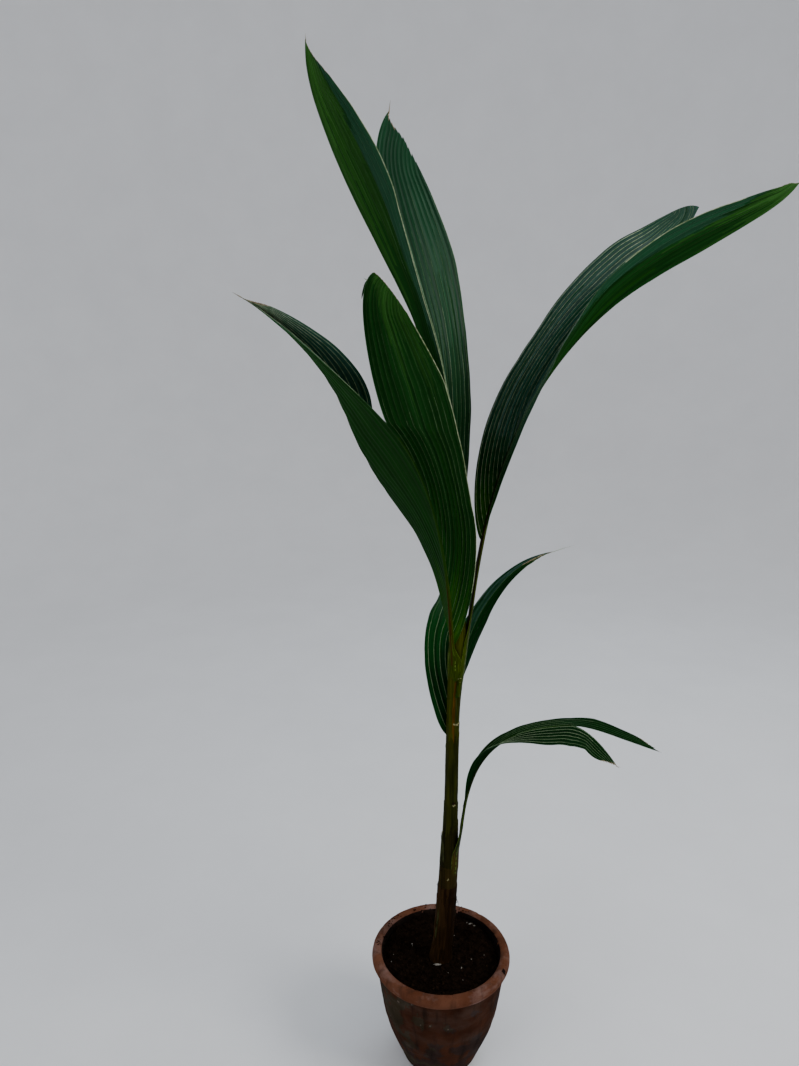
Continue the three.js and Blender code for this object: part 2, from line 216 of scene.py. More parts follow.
def circle(sides):
    return np.linspace(0, 2 * np.pi, sides, endpoint=False)


def level(angle):
    """The level direction at each angle round the Z axis."""
    return np.stack([np.cos(angle), np.sin(angle), 0 * angle], -1)


def bezier(p, t):
    p = np.asarray(p, float)
    t = np.asarray(t, float)[..., None]
    s = 1 - t
    return s**3 * p[0] + 3 * t * s * s * p[1] + 3 * t * t * s * p[2] + t**3 * p[3]


def bezier_slope(p, t):
    p = np.asarray(p, float)
    t = np.asarray(t, float)[..., None]
    s = 1 - t
    return 3 * (s * s * (p[1] - p[0]) + 2 * t * s * (p[2] - p[1]) + t * t * (p[3] - p[2]))


def smooth_line(places, values, at):
    """A cubic through values at places, without overshoot, evaluated at at."""
    x = np.asarray(places, float)
    y = np.asarray(values, float)
    slope = np.diff(y) / np.diff(x)
    m = np.concatenate([[slope[0]], (slope[1:] + slope[:-1]) / 2, [slope[-1]]])
    turn = slope[1:] * slope[:-1] <= 0
    m[1:-1][turn] = 0
    i = np.clip(np.searchsorted(x, at) - 1, 0, len(x) - 2)
    h = x[i + 1] - x[i]
    t = np.clip((at - x[i]) / h, 0, 1)
    return (
        (2 * t**3 - 3 * t**2 + 1) * y[i] + (t**3 - 2 * t**2 + t) * h * m[i]
        + (-2 * t**3 + 3 * t**2) * y[i + 1] + (t**3 - t**2) * h * m[i + 1]
    )


def wobble(points, scale, seed, octaves):
    """Smooth noise of about -1 to 1 at each point, for points in millimetres."""
    flat = np.asarray(points, float).reshape(-1, 3) / scale + seed
    values = [noise.fractal(Vector(p), 1.0, 2.0, octaves) for p in flat]
    return np.array(values).reshape(np.shape(points)[:-1])


def stem_centre(z):
    x = smooth_line(STEM["heights"], STEM["leanX"], z)
    return np.stack([x, np.zeros_like(x), np.asarray(z, float)], -1)


def stem_radius(z):
    return smooth_line(STEM["heights"], STEM["diameters"], z) / 2


def on_stem(z, out, lift):
    """Points at heights z that stand off the stem's skin by lift, each in its direction."""
    return stem_centre(z) + out * (stem_radius(z) + lift)[:, None]


# Meshes.

def linked(name, data):
    ob = bpy.data.objects.new(name, data)
    bpy.context.scene.collection.objects.link(ob)
    return ob


def make_mesh(name, points, faces, materials, slots=None, maps=None):
    """A mesh object from points in millimetres. faces is a list of arrays, all of one width each."""
    counts = np.concatenate([np.full(len(f), f.shape[1]) for f in faces])
    corners = np.concatenate([f.ravel() for f in faces]).astype(np.int32)
    mesh = bpy.data.meshes.new(name)
    mesh.vertices.add(len(points))
    mesh.vertices.foreach_set("co", (np.asarray(points) * MM).astype(np.float32).ravel())
    mesh.loops.add(len(corners))
    mesh.loops.foreach_set("vertex_index", corners)
    mesh.polygons.add(len(counts))
    starts = np.concatenate([[0], np.cumsum(counts)[:-1]]).astype(np.int32)
    mesh.polygons.foreach_set("loop_start", starts)
    mesh.polygons.foreach_set("loop_total", counts.astype(np.int32))
    for m in materials:
        mesh.materials.append(m)
    if slots is not None:
        mesh.polygons.foreach_set("material_index", np.asarray(slots, np.int32))
    mesh.polygons.foreach_set("use_smooth", np.full(len(counts), True))
    mesh.update(calc_edges=True)
    if maps is not None:
        layer = mesh.uv_layers.new(name="Leaf")
        layer.data.foreach_set("uv", np.asarray(maps, np.float32)[corners].ravel())
    mesh.validate()
    return linked(name, mesh)


def placed(piece, slot, *nodes):
    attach(piece, "root")
    if nodes:
        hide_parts(*nodes)


def grid_faces(rows, columns, start=0, around=False, flip=False):
    """Quads between rows of columns points. around closes each row on itself."""
    i = np.arange(rows - 1)[:, None]
    j = np.arange(columns if around else columns - 1)[None, :]
    k = (j + 1) % columns
    quads = np.stack([i * columns + j, i * columns + k, (i + 1) * columns + k, (i + 1) * columns + j], -1)
    quads = quads.reshape(-1, 4) + start
    return quads[:, ::-1] if flip else quads


def fans(rows, sides, flip=False):
    """Triangles that close a tube of rows of sides points onto the two points that follow them."""
    k = np.arange(sides)
    after = (k + 1) % sides
    top = (rows - 1) * sides
    heart = np.full(sides, rows * sides)
    ends = np.concatenate([
        np.stack([heart, after, k], -1),
        np.stack([heart + 1, top + k, top + after], -1),
    ])
    return ends[:, ::-1] if flip else ends


def swept(line, sides):
    """The rows of points of a line of (radius, height) turned round the axis."""
    angle = circle(sides)
    radius, height = line[:, 0, None], line[:, 1, None]
    return np.stack([radius * np.cos(angle), radius * np.sin(angle), height + 0 * angle], -1)


class Parts:
    """What a piece is joined from: points, faces, the faces' slots and the points' leaf map."""

    def __init__(self):
        self.points, self.faces, self.slots, self.maps = [], [], [], []

    def add(self, points, faces, slots, leaf_map=None):
        self.points.append(points)
        self.faces.extend(faces)
        self.slots.extend(slots)
        self.maps.append(np.zeros((len(points), 2)) if leaf_map is None else leaf_map)

    def tube(self, path, radii, sides, slot, across=(0.0, 1.0, 0.1), flat=1.0):
        """A closed tube round a path, its section flattened by flat across it."""
        start = sum(len(p) for p in self.points)
        n = len(path)
        tangent = unit(np.gradient(path, axis=0))
        across = np.broadcast_to(across, (n, 3))
        a = unit(across - tangent * np.sum(across * tangent, -1, keepdims=True))
        b = np.cross(tangent, a) * flat
        angle = circle(sides)
        ring = np.cos(angle)[None, :, None] * a[:, None] + np.sin(angle)[None, :, None] * b[:, None]
        points = path[:, None] + ring * np.reshape(radii, (n, 1, 1))
        points = np.concatenate([points.reshape(-1, 3), path[:1], path[-1:]])
        wall = grid_faces(n, sides, start, around=True)
        ends = fans(n, sides) + start
        self.add(points, [wall, ends], [np.full(len(wall), slot), np.full(len(ends), slot)])

    def made(self, name, materials, mapped=False):
        maps = np.concatenate(self.maps) if mapped else None
        points, slots = np.concatenate(self.points), np.concatenate(self.slots)
        return make_mesh(name, points, self.faces, materials, slots, maps)


def lump(centre, size, detail):
    """A small irregular closed lump: points and triangles."""
    t = (1 + 5**0.5) / 2
    p = np.array([(-1, t, 0), (1, t, 0), (-1, -t, 0), (1, -t, 0), (0, -1, t), (0, 1, t),
                  (0, -1, -t), (0, 1, -t), (t, 0, -1), (t, 0, 1), (-t, 0, -1), (-t, 0, 1)])
    f = np.array([(0, 11, 5), (0, 5, 1), (0, 1, 7), (0, 7, 10), (0, 10, 11), (1, 5, 9), (5, 11, 4),
                  (11, 10, 2), (10, 7, 6), (7, 1, 8), (3, 9, 4), (3, 4, 2), (3, 2, 6), (3, 6, 8),
                  (3, 8, 9), (4, 9, 5), (2, 4, 11), (6, 2, 10), (8, 6, 7), (9, 8, 1)])
    p = unit(p)
    for _ in range(detail):
        p, f = split_once(p, f)
    stretch = size * random.uniform(0.6, 1.2, 3)
    p = p * (1 + random.normal(0, 0.13, (len(p), 1))) * stretch
    spin = random.uniform(0, 2 * np.pi)
    turn = np.array([[np.cos(spin), -np.sin(spin), 0], [np.sin(spin), np.cos(spin), 0], [0, 0, 1]])
    return p @ turn.T + centre, f


def split_once(p, f):
    """Each triangle in four, on the unit sphere."""
    edges = np.sort(np.concatenate([f[:, [0, 1]], f[:, [1, 2]], f[:, [2, 0]]]), axis=1)
    pairs, place = np.unique(edges, axis=0, return_inverse=True)
    middle = unit(p[pairs].mean(1))
    a, b, c = (place.reshape(3, -1) + len(p))
    v0, v1, v2 = f.T
    new = np.concatenate([
        np.stack([v0, a, c], -1),
        np.stack([v1, b, a], -1),
        np.stack([v2, c, b], -1),
        np.stack([a, b, c], -1),
    ])
    return np.concatenate([p, middle]), new


# Materials.

# The mix node's colour sockets are told apart by number, because they share their names.
MIX_FACTOR, MIX_A, MIX_B, MIX_RESULT = 0, 6, 7, 2


class Shade:
    """A material built node by node."""

    def __init__(self, name, roughness, **constants):
        self.material = bpy.data.materials.new(name)
        self.material.use_nodes = True
        self.tree = self.material.node_tree
        self.surface = self.tree.nodes["Principled BSDF"]
        self.surface.inputs["Roughness"].default_value = roughness
        for key, value in constants.items():
            self.surface.inputs[key.replace("_", " ")].default_value = value

    def node(self, kind, inputs=None, **values):
        made = self.tree.nodes.new(kind)
        for key, value in values.items():
            setattr(made, key, value)
        for key, value in (inputs or {}).items():
            if isinstance(value, bpy.types.NodeSocket):
                self.tree.links.new(value, made.inputs[key])
            else:
                made.inputs[key].default_value = value
        return made

    def place(self):
        return self.node("ShaderNodeTexCoord").outputs["Object"]

    def leaf_map(self):
        return self.node("ShaderNodeUVMap", uv_map="Leaf").outputs["UV"]

    def scaled(self, vector, scale, shift=(0, 0, 0)):
        inputs = {"Vector": vector, "Scale": scale, "Location": shift}
        return self.node("ShaderNodeMapping", inputs).outputs[0]

    def noise(self, vector, scale, detail, roughness):
        inputs = {"Vector": vector, "Scale": scale, "Detail": detail, "Roughness": roughness}
        return self.node("ShaderNodeTexNoise", inputs).outputs["Fac"]

    def part(self, vector, axis):
        return self.node("ShaderNodeSeparateXYZ", {"Vector": vector}).outputs[axis]

    def maths(self, operation, a, b=0.0):
        return self.node("ShaderNodeMath", {0: a, 1: b}, operation=operation).outputs[0]

    def span(self, value, low, high, to_low=0.0, to_high=1.0):
        inputs = {"Value": value, "From Min": low, "From Max": high, "To Min": to_low, "To Max": to_high}
        return self.node("ShaderNodeMapRange", inputs, clamp=True).outputs[0]

    def mix(self, share, a, b):
        """From colour a to colour b, each a socket or three numbers."""
        a, b = (c if isinstance(c, bpy.types.NodeSocket) else (*c, 1) for c in (a, b))
        inputs = {MIX_FACTOR: share, MIX_A: a, MIX_B: b}
        return self.node("ShaderNodeMix", inputs, data_type="RGBA").outputs[MIX_RESULT]

    def over(self, base, value, low, high, share, colour):
        """The colour laid over the base where the value is past low, by up to share at high."""
        return self.mix(self.span(value, low, high, 0.0, share), base, colour)

    def finish(self, colour, grain, smoothest, roughest, distance, strength):
        """Base colour, a roughness that follows the grain, and the grain's relief."""
        inputs = {"Height": grain, "Strength": strength, "Distance": distance}
        normal = self.node("ShaderNodeBump", inputs).outputs["Normal"]
        rough = self.span(grain, 0.3, 0.7, smoothest, roughest)
        for name, socket in (("Base Color", colour), ("Roughness", rough), ("Normal", normal)):
            self.tree.links.new(socket, self.surface.inputs[name])
        return self.material


def times(colour, factor):
    return tuple(c * factor for c in colour)


SEAM_COLOUR, MIDLINE_COLOUR = (0.011, 0.012, 0.004), (0.16, 0.22, 0.09)


def leaf_shade(name, colour, line, roughness, seam, midline, gloss, ior):
    """A leaf face: fine lines along the pleats, each pleat its own shade, a seam between pleats and
    a line along their middles. The leaf map counts pleats in X and runs foot to tip in Y."""
    s = Shade(name, roughness, Specular_IOR_Level=gloss, IOR=ior)
    at = s.leaf_map()
    fine = s.noise(s.scaled(at, (11, 1.3, 1)), 1.0, 4, 0.6)
    pleat = s.noise(s.scaled(at, (1.4, 0.5, 1), (7, 1, 0)), 1.0, 2, 0.5)
    base = s.mix(s.span(pleat, 0.36, 0.64), times(colour, 0.78), times(colour, 1.3))
    base = s.over(base, fine, 0.5, 0.74, line, times(colour, 2.6))
    base = s.over(base, fine, 0.46, 0.3, 0.55, times(colour, 0.45))
    within = s.maths("ABSOLUTE", s.maths("SUBTRACT", s.maths("FRACT", s.part(at, "X")), 0.5))
    patch = s.noise(s.scaled(at, (0.9, 7, 1), (2, 2, 0)), 1.0, 3, 0.6)
    at_joint, uneven = s.span(within, 0.42, 0.5, 0.0, seam), s.span(patch, 0.3, 0.6, 0.5, 1.0)
    base = s.mix(s.maths("MULTIPLY", at_joint, uneven), base, SEAM_COLOUR)
    if midline:
        at_middle = s.span(within, 0.07, 0.02, 0.0, midline)
        uneven = s.span(patch, 0.35, 0.65, 0.3, 1.0)
        base = s.mix(s.maths("MULTIPLY", at_middle, uneven), base, MIDLINE_COLOUR)
    mottle = s.noise(s.place(), 60.0, 5, 0.65)
    base = s.over(base, mottle, 0.55, 0.8, 0.35, times(colour, 0.45))
    return s.finish(base, fine, roughness - 0.07, roughness + 0.09, 0.0006, 0.35)


def plain_shade(name, low, high, scale, roughness, bump=0.0004, stretch=(1, 1, 1), **constants):
    """Two colours mixed by noise, with a little relief."""
    s = Shade(name, roughness, **constants)
    at = s.scaled(s.place(), stretch)
    grain = s.noise(at, scale, 5, 0.62)
    base = s.mix(s.span(grain, 0.35, 0.65), low, high)
    return s.finish(base, grain, roughness - 0.08, roughness + 0.08, bump, 0.6)


# Greens from foot to tip as (colour, gloss, index of refraction). The upper side's last two greens are
# lighter and bluish: painted sky sheen over their own green and gloss.
UPPER = [
    ((0.012, 0.060, 0.002), 0.12, 1.16), ((0.004, 0.038, 0.003), 0.12, 1.16),
    ((0.002, 0.028, 0.004), 0.12, 1.18), ((0.003, 0.030, 0.007), 0.15, 1.22),
    ((0.004, 0.042, 0.015), 0.24, 1.3), ((0.008, 0.056, 0.036), 0.5, 1.45),
]
# The under side's last two greens are a lighter yellow-green: partly their own colour, partly painted light
# shining through the leaf.
UNDER = [
    ((0.015, 0.060, 0.002), 0.03, 1.1), ((0.007, 0.040, 0.003), 0.03, 1.13),
    ((0.004, 0.027, 0.004), 0.03, 1.16), ((0.005, 0.033, 0.005), 0.04, 1.19),
    ((0.011, 0.054, 0.007), 0.08, 1.22), ((0.020, 0.080, 0.011), 0.12, 1.25),
]
upper_faces = [
    leaf_shade(f"leaf_upper_{i + 1}", colour, 0.5, 0.4, 0.3, 0.0, gloss, ior)
    for i, (colour, gloss, ior) in enumerate(UPPER)
]
under_faces = [
    leaf_shade(f"leaf_under_{i + 1}", colour, 0.2, 0.5, 0.25, 0.1, gloss, ior)
    for i, (colour, gloss, ior) in enumerate(UNDER)
]
DULL = {"Specular_IOR_Level": 0.2, "IOR": 1.2}
vein_faces = [
    plain_shade("leaf_vein_pale", (0.13, 0.22, 0.10), (0.34, 0.42, 0.26), 240, 0.45, **DULL),
    plain_shade("leaf_vein_soft", (0.05, 0.11, 0.04), (0.16, 0.24, 0.12), 240, 0.45, **DULL),
    plain_shade("leaf_vein_dull", (0.010, 0.05, 0.012), (0.045, 0.11, 0.04), 240, 0.45, **DULL),
]
# The pale margin green: the margins' own pale edge and painted light that catches the free edges; the nearly
# white veins, the barb and the bleached tips use it too.
margin_face = plain_shade("leaf_margin", (0.14, 0.20, 0.07), (0.48, 0.53, 0.34), 130, 0.5, **DULL)
dry_face = plain_shade("leaf_dry", (0.10, 0.07, 0.035), (0.34, 0.28, 0.18), 260, 0.75, **DULL)
# A darker green for the low and back leaves: painted shade.
painted_shade_face = leaf_shade("leaf_painted_shade", (0.001, 0.0135, 0.0018), 0.3, 0.5, 0.0, 0.0, 0.1, 1.1)
LEAF_FACES = [*upper_faces, *under_faces, *vein_faces, margin_face, dry_face, painted_shade_face]
# Places in LEAF_FACES; the last three are greens of the upper side.
FIRST_UNDER, FIRST_VEIN = len(UPPER), len(UPPER) + len(UNDER)
DULL_VEIN, MARGIN_SLOT, DRY_SLOT, PAINTED_SHADE_SLOT = range(FIRST_VEIN + 2, FIRST_VEIN + 6)
DARKEST, BAND_SEAM, BAND = 2, 3, 4
# A stretch past the leaf's end, for what a half doesn't have.
NOWHERE = (2, 2)
UPRIGHT = (0.0, 0.0, 1.0)


# Leaves.

# Size of the table that holds a half's middle surface.
ROWS, COLUMNS = 321, 96


def inner_edge(leaf, margin, v):
    n = leaf["notchShare"]
    on_rib = bezier(leaf["rib"], leaf["bladeStart"] + (1 - leaf["bladeStart"]) * np.clip(v / n, 0, 1))
    free = bezier(margin, np.clip((v - n) / (1 - n), 0, 1))
    return np.where((v <= n)[:, None], on_rib, free)


def leaf_frame(leaf, tangent):
    """The ways across the leaf and up from it, square to each tangent."""
    azimuth = math.radians(leaf["azimuth"])
    sideways = np.array([-math.sin(azimuth), math.cos(azimuth), 0.0])
    sideways = unit(sideways - tangent * (tangent @ sideways)[:, None])
    return sideways, np.cross(tangent, sideways)


def half_surface(leaf, side, point):
    """The half's middle surface and its upper side's normals as tables over length and width."""
    half = leaf[side]
    sign = 1 if side == "left" else -1
    rib = np.array(leaf["rib"], float)
    heading = unit(rib[3] - rib[2])
    margin = np.array([rib[3], rib[3] + half["run"] * heading, half["pull"], half["tip"]])
    spine = np.array([bezier(rib, leaf["bladeStart"]), rib[2], half["pull"], half["tip"]])
    v = np.linspace(0, 1, ROWS)
    inner = inner_edge(leaf, margin, v)
    reach = np.minimum(BLADE["smoothing"], 0.6 * np.minimum(v, 1 - v))
    edge = sum(inner_edge(leaf, margin, v + tap * reach) for tap in (-1, -0.5, 0, 0.5, 1)) / 5
    tangent = unit(bezier_slope(spine, 0.04 + 0.9 * v))
    sideways, upward = leaf_frame(leaf, tangent)
    foot, notch, tip = half["fold"]
    n = leaf["notchShare"]
    fold = np.where(v < n, mixed(foot, notch, smooth(v / n)), mixed(notch, tip, smooth((v - n) / (1 - n))))
    fold = np.radians(fold)[:, None]
    w = half["widest"]
    rising = np.sin(np.pi / 2 * np.clip(v / w, 0, 1)) ** half["swell"]
    falling = np.cos(np.pi / 2 * np.clip((v - w) / (1 - w), 0, 1)) ** half["taper"]
    width = np.maximum(BLADE["least"], half["width"] * np.where(v < w, rising, falling))
    across = (sign * sideways * np.cos(fold) + upward * np.sin(fold)) * width[:, None] + edge - inner
    width = np.linalg.norm(across, axis=1) * (1 - point * smooth((v - 0.93) / 0.07))
    across = unit(across)
    face = unit(sign * np.cross(tangent, across))
    gutter = half.get("gutter")
    middle = (np.arange(COLUMNS) + 0.5) / COLUMNS
    if gutter:
        share = np.clip((v - gutter["along"][0]) / (gutter["along"][1] - gutter["along"][0]), 0, 1)
        line = mixed(gutter["across"][0], gutter["across"][1], share)
        turn = math.radians(gutter["turn"]) * smooth((v - gutter["from"]) / gutter["over"])
        angle = turn[:, None] * smooth((middle[None] - line[:, None]) / BLADE["bend"] + 0.5)
    else:
        angle = np.zeros((ROWS, COLUMNS))
    step = np.cos(angle)[..., None] * across[:, None] + np.sin(angle)[..., None] * face[:, None]
    step = step * (width[:, None, None] / COLUMNS)
    surface = np.concatenate([inner[:, None], inner[:, None] + np.cumsum(step, 1)], 1)
    down = np.gradient(surface, axis=0)
    over = np.gradient(surface, axis=1)
    normal = unit(sign * np.cross(down, over))
    return surface, normal


def looked_up(table, u, v):
    """The table's value at u across and v along, both arrays of shares."""
    rows, columns = table.shape[0] - 1, table.shape[1] - 1
    y = np.clip(v, 0, 1) * rows
    x = np.clip(u, 0, 1) * columns
    i = np.minimum(y.astype(int), rows - 1)
    j = np.minimum(x.astype(int), columns - 1)
    fy = (y - i)[..., None]
    fx = (x - j)[..., None]
    top = table[i, j] * (1 - fx) + table[i, j + 1] * fx
    low = table[i + 1, j] * (1 - fx) + table[i + 1, j + 1] * fx
    return top * (1 - fy) + low * fy


# Faces along a half, how the pleats crowd where they leave the rib and where they end, and the
# points across a pleat: those beside its vein on either side, as shares, and the vein's crest.
ALONG = 104
FOOT_POWER, END_POWER = 2.2, 1.6
SIDE_OF_PLEAT = np.array([0.04, 0.3, 0.58, 0.82, 1.0])
PER_PLEAT = 2 * len(SIDE_OF_PLEAT) + 1


class Pleats:
    """Lines of one share q of the pleats: each leaves the rib, runs up the lobe and ends at its
    outer margin. q is 0 at the inner free margin and 1 at the outer one."""

    def __init__(self, name, side):
        self.leaf = LEAVES[name]
        self.looks = LOOKS[name, side]
        self.surface, self.normal = half_surface(self.leaf, side, self.looks["point"])
        self.length = np.linalg.norm(np.diff(self.surface[:, COLUMNS // 2], axis=0), axis=1).sum()

    def laid(self, q, w, cut=0.0):
        """Length share, width share, point and upper side's direction at pleat share q, run w."""
        notch = self.leaf["notchShare"]
        end = self.looks["end"]
        start = notch * (1 - q ** (1 / FOOT_POWER))
        finish = end + (1 - end) * (1 - q) ** (1 / END_POWER)
        v = np.maximum(start + w * (finish - start) - cut, start)
        q_in = np.clip(1 - v / notch, 0, 1) ** FOOT_POWER
        q_out = np.where(v < end, 1.0, 1 - np.clip((v - end) / (1 - end), 0, 1) ** END_POWER)
        u = np.clip((q - q_in) / np.maximum(q_out - q_in, 1e-4), 0, 1)
        return v, u, looked_up(self.surface, u, v), unit(looked_up(self.normal, u, v))


def half_slots(name, pleated, rng, w, v, u, which, place):
    """The slots of a half's upper and lower faces. Each column of points belongs to the pleat that
    which gives and is the point of it that place gives."""
    looks = pleated.looks
    count = looks["pleats"]
    rows, columns = v.shape
    i, j = np.divmod(np.arange((rows - 1) * (columns - 1)), columns - 1)
    face_v = (v[i, j] + v[i + 1, j + 1]) / 2
    face_u = (u[i, j] + u[i + 1, j + 1]) / 2
    shifts = rng.uniform(-0.45, 0.45, (6, count))[:, which[j]]
    tone_shift, _, vein_shift, lined_shift, bright_shift, _ = shifts

    # The greens change along the leaf in streaks, each column of faces at a place of its own.
    streak = rng.uniform(-0.5, 0.5, columns) + 0.3 * np.sin(np.arange(columns) * 0.7)
    streak = streak[j]
    drift = (0.6 * tone_shift + 1.1 * streak) * looks.get("drift", 1.0)
    tone_up = np.interp(face_v, TONES_AT, looks.get("upper", TONES)) + drift
    tone_low = np.interp(face_v, TONES_AT, looks.get("under", TONES)) + drift
    # Towards the inner margin a half may be darker: painted shade.
    shaded = looks.get("shaded", 0) * smooth((0.55 - face_u) / 0.4) * smooth(face_v / 0.2)
    tone_low = np.where(tone_low > DARKEST, np.maximum(tone_low - shaded, DARKEST), tone_low)
    tone_up = np.clip(np.round(tone_up), 0, TONES[-1]).astype(int)
    tone_low = np.clip(np.round(tone_low), 0, TONES[-1]).astype(int)
    # The low leaf's upper side and the low and back leaves' under sides take the darker green: painted shade.
    if name == "low":
        tone_up[tone_up > 0] = PAINTED_SHADE_SLOT
    if name in ("low", "back"):
        tone_low[face_v < 0.9 + 0.1 * streak] = PAINTED_SHADE_SLOT - FIRST_UNDER

    on_vein = (place[j] == PER_PLEAT // 2) | (place[j] == PER_PLEAT // 2 + 1)
    vein = np.interp(face_v, [0.0, 0.5, 0.75, 1.0], [0, 0.3, 1.2, 2.2]) + vein_shift
    vein = FIRST_VEIN + np.clip(np.round(vein + looks["dim"]), 0, 2).astype(int)
    first, last = looks.get("bright", NOWHERE)
    at = face_v + 0.12 * bright_shift
    vein[(at > first) & (at < last)] = MARGIN_SLOT
    from_end = (1 - (w[i, 0] + w[i + 1, 0]) / 2) * pleated.length
    dry_end = looks["dry"] * rng.uniform(0.1, 1.0, count)[which[j]] * smooth((face_v - 0.75) / 0.2)
    dry = from_end < dry_end
    slots_up = np.where(on_vein, vein, tone_up)
    slots_up[dry] = DRY_SLOT
    slots_low = FIRST_UNDER + tone_low
    if "band" in looks:
        # The band of painted sheen starts later and ends earlier the farther in a column lies, with a darker
        # seam.
        reach, first, last = looks["band"]
        from_edge = (face_u if reach > 0 else 1 - face_u) / abs(reach)
        begin = first + 0.24 * from_edge ** 2 + 0.07 * streak
        until = last - 0.16 * from_edge ** 2 + 0.03 * streak
        seam = (from_edge < 1.12) & (face_v > begin - 0.03) & (face_v < until + 0.02)
        slots_low[seam] = BAND_SEAM
        slots_low[(from_edge < 1) & (face_v > begin) & (face_v < until)] = BAND
    if "lined" in looks:
        reach, first, last = looks["lined"]
        from_edge = face_u if reach > 0 else 1 - face_u
        near = from_edge < abs(reach) + 0.1 * lined_shift
        shown = on_vein & near & (face_v > first) & (face_v < last)
        slots_low[shown] = np.minimum(vein[shown] + 1, DULL_VEIN)
    slots_low[dry] = DRY_SLOT
    return slots_up, slots_low


def add_cords(parts, looks, v, ground, middle):
    """A thin cord on each free edge of a half, pale along a stretch: partly the margin's own pale edge,
    partly painted light that catches it.
    """
    sides = 6
    row = np.arange(len(v))
    from_end = np.minimum(row, row[::-1])
    for column, inward, key in ((0, 3, "cord"), (-1, -4, "outer")):
        outward = unit(ground[:, column] - ground[:, inward]) + [0, 0, 1e-3]
        radii = 0.5 * np.minimum(1, from_end / 8 + 0.15)
        parts.tube(middle[:, column], radii, sides, DULL_VEIN, outward)
        along = (v[:-1, column] + v[1:, column]) / 2
        first, last = looks.get(key, NOWHERE)
        pale = (along > first) & (along < last)
        parts.slots[-2] = np.repeat(np.where(pale, MARGIN_SLOT, DULL_VEIN), sides)


def add_spikes(parts, pleated):
    """Dry ends that stand past a half's tip."""
    tip = pleated.surface[-1].mean(0)
    onward = unit(pleated.surface[-1] - pleated.surface[-14]).mean(0)
    aside = unit(pleated.surface[-1, -1] - pleated.surface[-1, 0])
    slot = MARGIN_SLOT if pleated.looks.get("bleached") else DRY_SLOT
    s = np.linspace(-0.25, 1, 12)[:, None]
    radii = np.interp(s[:, 0], [-0.25, 0.0, 0.4, 1], [0.7, 1.1, 0.6, 0.12])
    for length, lean in pleated.looks["spikes"]:
        path = tip + onward * s * length + aside * lean * (s + 0.25) ** 2 + [0, 0, 0.8] * s
        parts.tube(path, radii, 6, slot, aside + [0, 0, 1e-3], 0.4)


def add_torn_strip(parts, pleated):
    """A narrow strip torn off a lobe, which hangs from its free margin, and a barb above it."""
    first, last = 305, 284
    edge = pleated.surface[:, 0]
    out = unit(edge - pleated.surface[:, 6])
    at = np.linspace(first, last, 16).astype(int)
    s = np.linspace(0, 1, 16)[:, None]
    strip = edge[at] + out[at] * (0.2 + 3.2 * s ** 1.3) + [0, -0.6, 0] * s
    radii = np.interp(s[:, 0], [0, 0.15, 0.8, 1], [0.6, 1.6, 1.1, 0.2])
    parts.tube(strip, radii, 8, DARKEST, out[at], 0.3)
    s = np.linspace(0, 1, 6)[:, None]
    barb = edge[first] + out[first] * (5.5 * s - 1) + [0, 0, 2] * s
    parts.tube(barb, np.linspace(0.8, 0.2, 6), 6, MARGIN_SLOT, UPRIGHT, 0.5)


